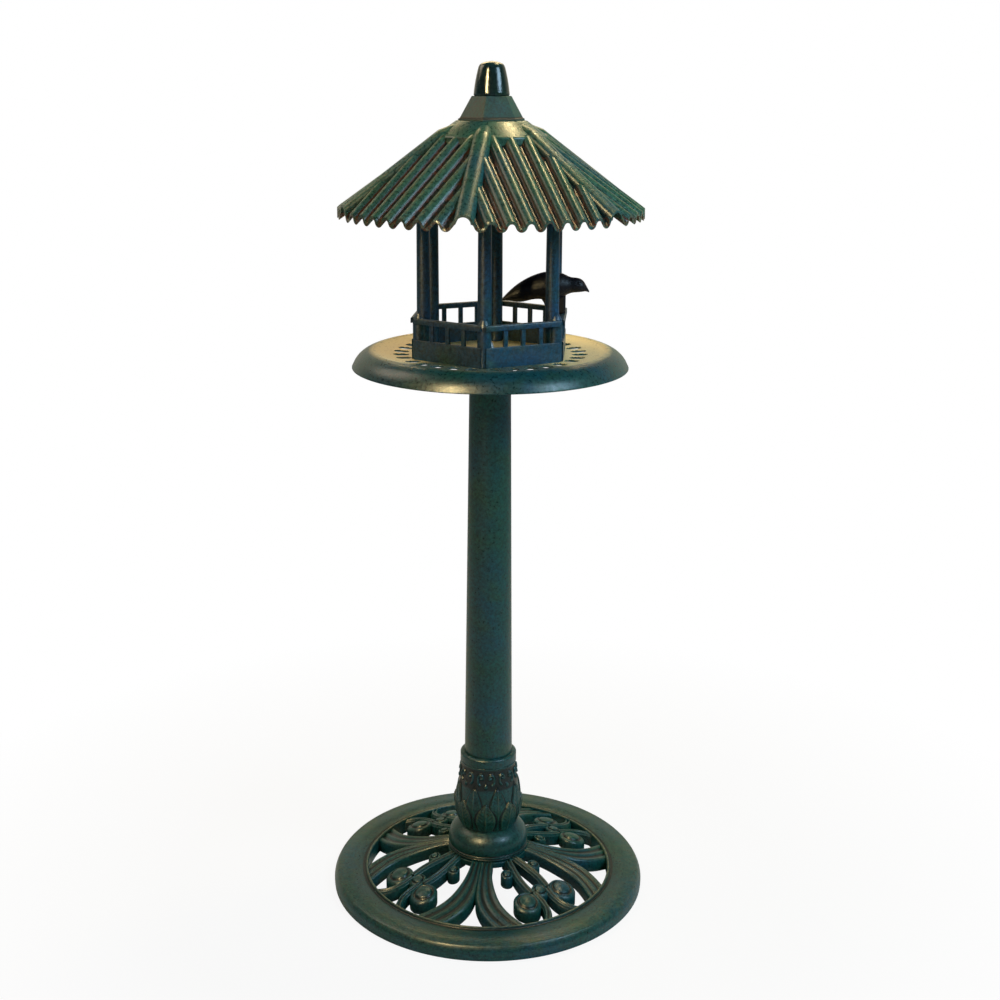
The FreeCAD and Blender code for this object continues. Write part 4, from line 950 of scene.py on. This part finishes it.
def wave_line(size, offset, flank):
    """The ribs' line at an offset from the middle of the wall: equal arcs in turn, bent up over the crests
    and down through the valleys, between plain flanks."""
    half_chord = size.rib_pitch / 4
    depth = size.rib_height
    bend_radius = (half_chord ** 2 + (depth / 2) ** 2) / depth
    bend = math.asin(half_chord / bend_radius)
    middle = -size.roof_wall / 2
    along, height = [], []
    waves = 2 * RIBS_PER_SECTOR + 3
    for number in range(waves):
        valley = number % 2 == 1
        centre = (number - (waves - 1) / 2) * 2 * half_chord
        turn = np.linspace(-bend, bend, 13)
        if number in (0, waves - 1):
            turn = turn[turn >= 0] if number == 0 else turn[turn <= 0]
        turn = turn[:-1] if number < waves - 1 else turn
        side = -1 if valley else 1
        radius = bend_radius + side * offset
        along.append(centre + radius * np.sin(turn))
        foot = middle - depth + bend_radius if valley else middle - bend_radius
        height.append(foot + side * radius * np.cos(turn))
    along = np.concatenate([[-flank], *along, [flank]])
    height = np.concatenate([[middle + offset], *height, [middle + offset]])
    return along, height


def rib_patches(size):
    """The ribbed sheet of the sector that faces +X. With x out, y along the eave and h the wave's height
    over y, z = eave height + fall * (sqrt(R^2 - y^2) - x) + h * slope length: the ribs run straight up from
    a round, level eave to the crown, where they sink into it, or to the ridge on the hip."""
    fall, stretch = roof_fall(size)
    eave, crown = size.eave_radius, size.crown_radius
    half_side = math.tan(SIDE_ANGLE / 2)
    flank = eave * math.sin(SIDE_ANGLE / 2 - math.asin(size.hip_width * 0.45 / eave))
    rows = np.concatenate([np.linspace(0, 1, 12), [1.25, 1.5, 1.75, 2.0]])[:, None]
    faces = []
    for offset in (size.roof_wall / 2, -size.roof_wall / 2):
        along, height = wave_line(size, offset, eave / 2)
        along = np.clip(along, -flank, flank)
        level_end = np.sqrt(eave ** 2 - along ** 2)
        under_ridge = size.hip_width * (0.3 + 0.15 * step(80, 92, np.abs(along)))
        hip_end = np.abs(along) / half_side + under_ridge / math.sin(SIDE_ANGLE / 2)
        crown_end = np.sqrt(np.maximum(crown ** 2 - along ** 2, 0))
        end = np.minimum(np.maximum(hip_end, crown_end), level_end)
        fade = 7.0 * step(3, -3, hip_end - crown_end)
        x = level_end + (end - level_end) * np.minimum(rows, 1) - fade * np.maximum(rows - 1, 0)
        tall = roof_cone(size, eave) + fall * (level_end - x) + height * stretch
        crown_face = roof_cone(size, np.hypot(x, along)) - 0.4
        sinking = np.maximum(rows - 1, 0)
        tall = np.where(tall > crown_face, tall + (crown_face - tall) * sinking, tall)
        faces.append(joined(x, along, tall))
        if offset > 0:
            sink = np.clip(-height / size.rib_height, 0, 1)
    upper, lower = faces
    crest = ridge(sink, 0.07) * 0.55 * (1 - np.maximum(rows - 1, 0))
    # rust down the valleys' flanks, and painted shade at their bottoms
    valley = step(0.4, 0.95, sink) * step(2.0, 1.4, rows)
    faces = np.array(faces)
    edges = [patch(edge) for edge in (faces[:, -1], faces[:, :, 0], faces[:, :, -1])]
    return [patch(upper, crest=crest, hollow=valley), patch(lower, hollow=0.4),
            patch(faces[:, 0], crest=0.5)] + edges


def hip_patches(size):
    """The ridge on the hip along +X: an arch with upright sides, hollow below, is carried from the eave
    straight up to the crown and, flatter, on to the roof's top, where it sinks into the crown."""
    _, stretch = roof_fall(size)
    half, wall = size.hip_width / 2, size.roof_wall
    bottom = -size.hip_rise - (size.rib_height + wall) * stretch
    bend = np.linspace(0, math.pi, 25)
    outer = joined(half * np.cos(bend), size.hip_arch * (np.sin(bend) ** 0.85 - 1))
    inner = joined((half - wall) * np.cos(bend), (size.hip_arch - wall) * np.sin(bend) - size.hip_arch)
    section = []
    for reach, arch in ((half, outer), (wall - half, inner[::-1])):
        section += [np.linspace((reach, bottom), (reach, -size.hip_arch), 5)[:-1], arch,
                    np.linspace((-reach, -size.hip_arch), (-reach, bottom), 5)[1:]]
    section = np.concatenate(section)
    side, drop = section.T
    rows = np.linspace(0, 1, 14)[:, None]
    web = size.crown_radius - wall / 2
    out = np.sqrt(size.eave_radius ** 2 - side ** 2)
    x = out + (web - out) * rows
    apex = roof_cone(size, x) + size.hip_rise
    shallow = -size.hip_rise - wall * stretch
    eave_drop = np.maximum(drop, shallow) + np.minimum(drop - shallow, 0) * (0.1 + 0.9 * step(0, 0.17, rows))
    run_out = np.linspace(0.1, 1, 8)[:, None]
    x_top = web + (size.roof_top_radius - web) * run_out
    apex_web = roof_cone(size, web) + size.hip_rise
    apex_top = apex_web + (size.roof_height - wall * 0.7 - apex_web) * run_out
    buried = roof_cone(size, np.hypot(x_top, side)) - wall * 0.6
    tall = np.concatenate([apex + eave_drop, np.maximum(apex_top + drop, buried)])
    points = joined(np.concatenate([x, x_top + 0 * side]), side, tall)
    # gilt on both shoulders of the ridge, partly rubbed gilt and partly a painted highlight for the light's
    # reflection
    shoulder = ridge(np.abs(side) - half * 0.62, half * 0.16) * (drop > -size.hip_arch * 0.7)
    fade = np.concatenate([1 + 0 * rows, 1 - run_out])
    half_count = len(section) // 2
    return [patch(points, False, True, shoulder * fade * 0.9)] + [
        patch(np.stack([points[row, :half_count], points[row, :half_count - 1:-1]]), crest=crest)
        for row, crest in ((0, 0.5), (-1, 0.0))]


class BIRDTABLE_OT_roof(bpy.types.Operator):
    """Build the round ribbed roof with its ridges, crown and skirt"""

    bl_idname = "bird_table.roof"
    bl_label = "Roof"

    def execute(self, context):
        size = sizes(context)
        parts = [self.crown(size), self.skirt(size)]
        sheet, ridges = rib_patches(size), hip_patches(size)
        for number in range(SIDES):
            parts += placed(sheet, number * SIDE_ANGLE) + placed(ridges, (number + 0.5) * SIDE_ANGLE)
        make_piece("roof_ribbed", placed(parts, ROOF_TURN, (0, 0, size.roof_seat)),
                   moulded_plastic(context, "verdigris_roof"), "roof_cap", ["roof"], 50.0)
        return {"FINISHED"}

    def crown(self, size):
        """The plain crown, its web behind the ends of the ribs and the plate under the neck."""
        fall, stretch = roof_fall(size)
        wall, crown, top = size.roof_wall, size.crown_radius, size.roof_height
        sunk = (size.rib_height + wall) * stretch
        edge = roof_cone(size, crown)
        section = rounded([
            (SCREW_HOLE, top), (size.roof_top_radius, top, 1.2), (crown, edge, 2.0), (crown, edge - sunk),
            (crown - wall, edge - sunk), (crown - wall, roof_cone(size, crown - wall) - wall * stretch),
            (size.roof_top_radius + (CROWN_PLATE - wall * stretch) / fall, top - CROWN_PLATE),
            (SCREW_HOLE, top - CROWN_PLATE),
        ])
        out, up = section.T[:, :, None]
        gilt = ridge(out - size.roof_top_radius - 12, 14) * 0.35 * (up > 60)
        return patch(turned(section, full_circle(144)), True, True, gilt)

    def skirt(self, size):
        """The round skirt under the roof: an inner flange that sits on the top ring, a lip that goes round
        it, and a wall that ends in the valleys."""
        edge, outside = SKIRT_RADIUS, SKIRT_RADIUS + SKIRT_WALL
        sunk = (size.rib_height + size.roof_wall / 2) * roof_fall(size)[1]
        profile = [(edge - FLANGE_WIDTH, 0), (edge, 0), (edge, -SKIRT_LIP), (outside, -SKIRT_LIP),
                   (outside, roof_cone(size, outside) - sunk), (edge, roof_cone(size, edge) - sunk),
                   (edge, SKIRT_WALL), (edge - FLANGE_WIDTH, SKIRT_WALL)]
        return patch(turned(profile, full_circle(144)), True, True)


def hexagon_rings(section):
    """A section of (apothem, z) points goes round a six-sided outline with softly rounded corners."""
    reach = 1 / math.cos(SIDE_ANGLE / 2)
    corners = (np.arange(SIDES) + 0.5) * SIDE_ANGLE
    x, y = rounded([(reach * math.cos(a), reach * math.sin(a), 2.4 / 45) for a in corners], steps=6).T
    apothem, z = section.T[:, :, None]
    return joined(apothem * x, apothem * y, z)


class BIRDTABLE_OT_finial(bpy.types.Operator):
    """Build the six-sided neck and the round finial"""

    bl_idname = "bird_table.finial"
    bl_label = "Neck and finial"

    def execute(self, context):
        size = sizes(context)
        foot, head = (size.roof_top_radius - 1) * math.cos(SIDE_ANGLE / 2), size.finial_radius
        tall, top = size.neck_height, size.finial_height
        section = rounded([
            (foot, 0, 0.6), (foot, 2.6, 0.8), (foot - 2.2, 3.6, 0.6), (foot - 3.46, 6.1),
            (head + 0.4, tall - 1.2, 0.5), (head - 0.6, tall, 0.4), (SCREW_HOLE, tall),
            (SCREW_HOLE, tall - 4), (head - 4, tall - 4), (foot - 5, 0),
        ])
        # painted shade along the step near the neck's foot
        shade = ridge(section[:, 1] - 3.4, 2.0) * (section[:, 0] > foot - 4)
        shell = patch(hexagon_rings(section), True, True, 0.0, shade[:, None])
        make_piece("roof_neck_shell", placed([shell], NECK_TURN, (0, 0, size.neck_seat)),
                   moulded_plastic(context, "verdigris_neck"), "roof_cap", ["roof_neck"])
        profile = (0, size.finial_seat) + section_of(
            [(0, 0), (head - 1.2, 0, 0.8), (head, 1.6, 0.8)],
            bow((head, 1.6), (CAP_RADIUS, top - 9), -0.8, 12),
            rounded([(CAP_RADIUS, top - 9), (17.4, top - 4.6, 3.0), (10.5, top - 1.3, 4.0), (0, top)],
                    closed=False, steps=6),
        )
        make_piece("finial_cap", [patch(turned(profile, full_circle(96)), False, True)],
                   moulded_plastic(context, "polished"), "roof_cap", ["finial"], 60.0)
        return {"FINISHED"}


# Bird

# place along the body, middle, half height and half width, as shares of the bird's sizes
BIRD_OVALS = np.array([
    (-0.605, 0.325, 0.03, 0.15), (-0.50, 0.43, 0.15, 0.25), (-0.38, 0.52, 0.25, 0.36),
    (-0.26, 0.615, 0.285, 0.45), (-0.12, 0.665, 0.325, 0.50), (0.00, 0.675, 0.32, 0.49),
    (0.095, 0.68, 0.26, 0.41), (0.17, 0.685, 0.19, 0.315), (0.245, 0.687, 0.17, 0.29),
    (0.30, 0.67, 0.14, 0.235), (0.34, 0.62, 0.08, 0.12), (0.38, 0.535, 0.02, 0.03),
])


def bird_patches(size):
    """The bird: ovals with half height h and half width w round a middle line, all smooth functions of the
    place along it, with feather relief added outwards; and a leg whose rounded plan widens into the belly."""
    scale = (size.bird_length, size.bird_height, size.bird_height, size.bird_width)
    x, middle, half_height, half_width = smooth_line(BIRD_OVALS * scale, 110).T[:, :, None]
    angle = full_circle(96)
    side, up = np.cos(angle), np.sin(angle)
    # the wing lies on the upper side, from the shoulder to the tail, with long quills behind the scallops
    low, high = -0.35 + 0.25 * step(-60, 10, x), 0.75
    wing = step(low, low + 0.1, up) * step(high + 0.18, high, up) * step(14, 8, x) * step(-70, -62, x)
    behind = step(-18, -30, x)
    quills = np.abs(np.sin(up * 9 + x * 0.03)) * behind
    scallops = np.abs(np.sin(x * 0.42 + np.cos(up * 11) * 0.8)) * step(-34, -20, x)
    relief = wing * (1.1 - 0.5 * (1 - quills) * behind - 0.35 * (1 - scallops))
    relief += 0.12 * np.sin(x * 1.3 + np.cos(up * 14)) * (1 - wing) * step(34, 26, x)
    eye = np.hypot(x - 34.5, (up * half_height + middle) - 46.5)
    relief += (1.1 * ridge(eye, 2.1) - 0.7 * ridge(eye - 2.7, 1.0)) * (np.abs(side) > 0.3)
    scale = 1 + relief / np.maximum(np.hypot(half_height, half_width), 3)
    body = joined(x - size.bird_reach, side * half_width * scale,
                  middle + up * half_height * np.minimum(scale, 1.02))
    heel, toe, half = -27.3, 3.2, 4.75
    x, y = rounded([(toe, half, 3.4), (heel, half, 3.4), (heel, -half, 3.4), (toe, -half, 3.4)]).T
    tall = np.array([0.4, 0.9, 4, 8, 12, 16, 20, 24, 28, 32])[:, None]
    draw = np.where(tall < 0.6, 0.93, 1.0)
    spread = 12 * step(10, 34, tall) * (x < (heel + toe) / 2)
    leg = joined(x * draw - spread, y * draw, tall)
    return [patch(closed_tube(form), False, True) for form in (body, leg)]


class BIRDTABLE_OT_bird(bpy.types.Operator):
    """Build the bird on the right-hand rail"""

    bl_idname = "bird_table.bird"
    bl_label = "Bird"

    def execute(self, context):
        size = sizes(context)
        perch = (fence_line(size), 0, size.floor + size.fence_height)
        finish = new_material(context, "moulded_plastic_black_sheen", feather_nodes)
        make_piece("bird_figure", placed(bird_patches(size), shift=perch), finish, "bird", ["bird"],
                   50.0)
        return {"FINISHED"}


class BIRDTABLE_OT_frame_parts(bpy.types.Operator):
    """Give the solid pieces that stay their finishes: top ring, bush and metal fasteners"""

    bl_idname = "bird_table.frame_parts"
    bl_label = "Ring and fasteners"

    def execute(self, context):
        zinc, paint = new_material(context, "zinc_plated_steel", zinc_nodes), moulded_plastic(context)
        for names, finish in ((FASTENERS, zinc), (["top_ring", "column_top_bush"], paint)):
            for name in names:
                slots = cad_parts[name].data.materials
                slots.clear()
                slots.append(finish)
        return {"FINISHED"}


# Stage

CAMERA_AZIMUTH = math.radians(4.5)
CAMERA_PITCH = math.radians(16.25)
CAMERA_DISTANCE = 2.173
CAMERA_HEIGHT = 1.283
CAMERA_ROLL = math.radians(0.29)
CAMERA_SHIFT = 0.0104
FOCAL_SHARE = 1.464
FLOOR_REACH = 9.0
LAMP_TARGET = (0, 0, 1.1)
# name, azimuth, elevation (degrees), distance, width, height (metres), watts, tint, in reflections only
LAMPS = [
    ("lamp_key", 62, 26, 2.0, 0.9, 0.9, 26, "#BCE4FF", False),
    ("lamp_left", -104, 36, 2.0, 1.2, 1.2, 13, "#FFEBCF", False),
    ("lamp_crown", 149, 62, 1.6, 0.3, 0.3, 13, "#FFE3A6", False),
    ("lamp_tray", 184, 34, 2.0, 1.6, 0.4, 12, "#FFE2A8", False),
    ("lamp_streak", -28, 23, 1.6, 0.09, 0.9, 52, "#FFE3A4", True),
]


def look(azimuth, elevation, distance, target):
    """The matrix of a lamp that stands in a direction from a target and points at it along its own -Z."""
    a, e = math.radians(azimuth), math.radians(elevation)
    spot = np.array([math.sin(a) * math.cos(e), -math.cos(a) * math.cos(e), math.sin(e)])
    turn = Matrix.Rotation(a, 4, "Z") @ Matrix.Rotation(math.pi / 2 - e, 4, "X")
    return Matrix.Translation(np.asarray(target) + spot * distance) @ turn


def board_nodes(tree, hue):
    """Matt painted floor board. Where the camera looks at it, most of it is even white, and the rest keeps
    the object's shadow; it turns to plain white between 0.5 m and 1.1 m from the object."""
    board = add_node(tree, "ShaderNodeBsdfDiffuse", {"Color": hue.floor})
    white = add_node(tree, "ShaderNodeEmission", {"Color": (1, 1, 1), "Strength": 1.0})
    seen = add_node(tree, "ShaderNodeLightPath").outputs
    either = add_node(tree, "ShaderNodeMath", {0: seen["Is Camera Ray"], 1: seen["Is Transmission Ray"]},
                      operation="MAXIMUM")
    where = add_node(tree, "ShaderNodeTexCoord").outputs["Object"]
    away = add_node(tree, "ShaderNodeVectorMath", {0: where}, operation="LENGTH").outputs["Value"]
    plain = add_node(tree, "ShaderNodeMapRange", {"Value": away, "From Min": 0.5, "From Max": 1.1,
                                                  "To Min": 0.9, "To Max": 1.0})
    share = add_node(tree, "ShaderNodeMath", {0: either, 1: plain}, operation="MULTIPLY")
    blend = add_node(tree, "ShaderNodeMixShader", {0: share, 1: board, 2: white})
    add_node(tree, "ShaderNodeOutputMaterial", {"Surface": blend})


class BIRDTABLE_OT_stage(bpy.types.Operator):
    """Set up the camera, the pale floor, the soft lamps and the plain view settings"""

    bl_idname = "bird_table.stage"
    bl_label = "Stage"

    def execute(self, context):
        scene = context.scene
        scene.view_settings.view_transform = "Standard"
        self.camera(scene)
        self.world(scene)
        for name, azimuth, elevation, distance, width, tall, power, tint, only_glints in LAMPS:
            data = bpy.data.lights.new(name, "AREA")
            data.shape = "ELLIPSE"
            data.size, data.size_y = width, tall
            data.energy = power
            data.color = srgb(tint)
            lamp = bpy.data.objects.new(name, data)
            lamp.visible_diffuse = not only_glints
            lamp.matrix_world = look(azimuth, elevation, distance, LAMP_TARGET)
            scene.collection.objects.link(lamp)
        board = bpy.data.meshes.new("floor_board")
        corners = [(x * FLOOR_REACH, y * FLOOR_REACH, 0) for x, y in ((-1, -1), (1, -1), (1, 1), (-1, 1))]
        board.from_pydata(corners, [], [(0, 1, 2, 3)])
        board.materials.append(new_material(context, "painted_board_matt", board_nodes))
        floor = bpy.data.objects.new("floor_board", board)
        scene.collection.objects.link(floor)
        return {"FINISHED"}

    def camera(self, scene):
        """The camera stands in front and a little to the right, and looks down at the object."""
        data = bpy.data.cameras.new("photo_camera")
        data.lens = FOCAL_SHARE * data.sensor_width
        data.shift_x = CAMERA_SHIFT
        data.clip_end = 50
        camera = bpy.data.objects.new("photo_camera", data)
        camera.matrix_world = (
            Matrix.Translation((CAMERA_DISTANCE * math.sin(CAMERA_AZIMUTH),
                                -CAMERA_DISTANCE * math.cos(CAMERA_AZIMUTH), CAMERA_HEIGHT))
            @ Matrix.Rotation(CAMERA_AZIMUTH, 4, "Z")
            @ Matrix.Rotation(math.pi / 2 - CAMERA_PITCH, 4, "X")
            @ Matrix.Rotation(CAMERA_ROLL, 4, "Z")
        )
        scene.collection.objects.link(camera)
        scene.camera = camera

    def world(self, scene):
        """Even pale light from all round. The camera sees plain white, and reflections see the pale backdrop
        behind the object, up to about 30 degrees over the horizon, and a dim studio elsewhere."""
        world = bpy.data.worlds.new("studio")
        world.use_nodes = True
        tree = world.node_tree
        tree.nodes.clear()
        light, dim, pale, white = (
            add_node(tree, "ShaderNodeBackground", {"Color": srgb(code), "Strength": strength})
            for code, strength in (("#F4F6F8", 0.17), ("#C8D4DA", 0.1), ("#FFF4DC", 0.6), ("#FFFFFF", 1.0)))
        where = add_node(tree, "ShaderNodeTexCoord").outputs["Generated"]
        along = add_node(tree, "ShaderNodeSeparateXYZ", {0: where}).outputs
        behind, level = (
            add_node(tree, "ShaderNodeMapRange", {"Value": along[axis], "From Min": low, "From Max": high})
            for axis, low, high in (("Y", 0.2, 0.7), ("Z", 0.56, 0.42)))
        backdrop = add_node(tree, "ShaderNodeMath", {0: behind, 1: level}, operation="MULTIPLY")
        seen = add_node(tree, "ShaderNodeLightPath").outputs
        either = add_node(tree, "ShaderNodeMath", {0: seen["Is Camera Ray"], 1: seen["Is Transmission Ray"]},
                          operation="MAXIMUM")
        mirrored = add_node(tree, "ShaderNodeMixShader", {0: backdrop, 1: dim, 2: pale})
        lit = add_node(tree, "ShaderNodeMixShader", {0: seen["Is Glossy Ray"], 1: light, 2: mirrored})
        blend = add_node(tree, "ShaderNodeMixShader", {0: either, 1: lit, 2: white})
        add_node(tree, "ShaderNodeOutputWorld", {"Surface": blend})
        scene.world = world


OPERATORS = [BIRDTABLE_OT_stage, BIRDTABLE_OT_base, BIRDTABLE_OT_column, BIRDTABLE_OT_tray,
             BIRDTABLE_OT_house, BIRDTABLE_OT_roof, BIRDTABLE_OT_finial, BIRDTABLE_OT_bird,
             BIRDTABLE_OT_frame_parts]


class BIRDTABLE_PT_panel(bpy.types.Panel):
    """Lists the pieces of the bird table, its sizes and its colours"""

    bl_idname = "BIRDTABLE_PT_panel"
    bl_label = "Bird table"
    bl_space_type = "VIEW_3D"
    bl_region_type = "UI"
    bl_category = "Bird table"

    def draw(self, context):
        for operator in OPERATORS:
            self.layout.operator(operator.bl_idname)
        for group, kind in ((context.scene.bird_table_sizes, BirdTableSizes),
                            (context.scene.bird_table_colours, BirdTableColours)):
            column = self.layout.column()
            for name in kind.__annotations__:
                column.prop(group, name)


CLASSES = [BirdTableSizes, BirdTableColours, *OPERATORS, BIRDTABLE_PT_panel]


def register():
    """Adds the sizes, the colours, the operators and the panel."""
    for kind in CLASSES:
        bpy.utils.register_class(kind)
    bpy.types.Scene.bird_table_sizes = bpy.props.PointerProperty(type=BirdTableSizes)
    bpy.types.Scene.bird_table_colours = bpy.props.PointerProperty(type=BirdTableColours)


def unregister():
    """Takes them away again, in the other order."""
    del bpy.types.Scene.bird_table_colours
    del bpy.types.Scene.bird_table_sizes
    for kind in reversed(CLASSES):
        bpy.utils.unregister_class(kind)


def main():
    """Builds the stage and every piece."""
    register()
    bpy.ops.bird_table.stage()
    bpy.ops.bird_table.base()
    bpy.ops.bird_table.column()
    bpy.ops.bird_table.tray()
    bpy.ops.bird_table.house()
    bpy.ops.bird_table.roof()
    bpy.ops.bird_table.finial()
    bpy.ops.bird_table.bird()
    bpy.ops.bird_table.frame_parts()


if __name__ == "__main__":
    main()
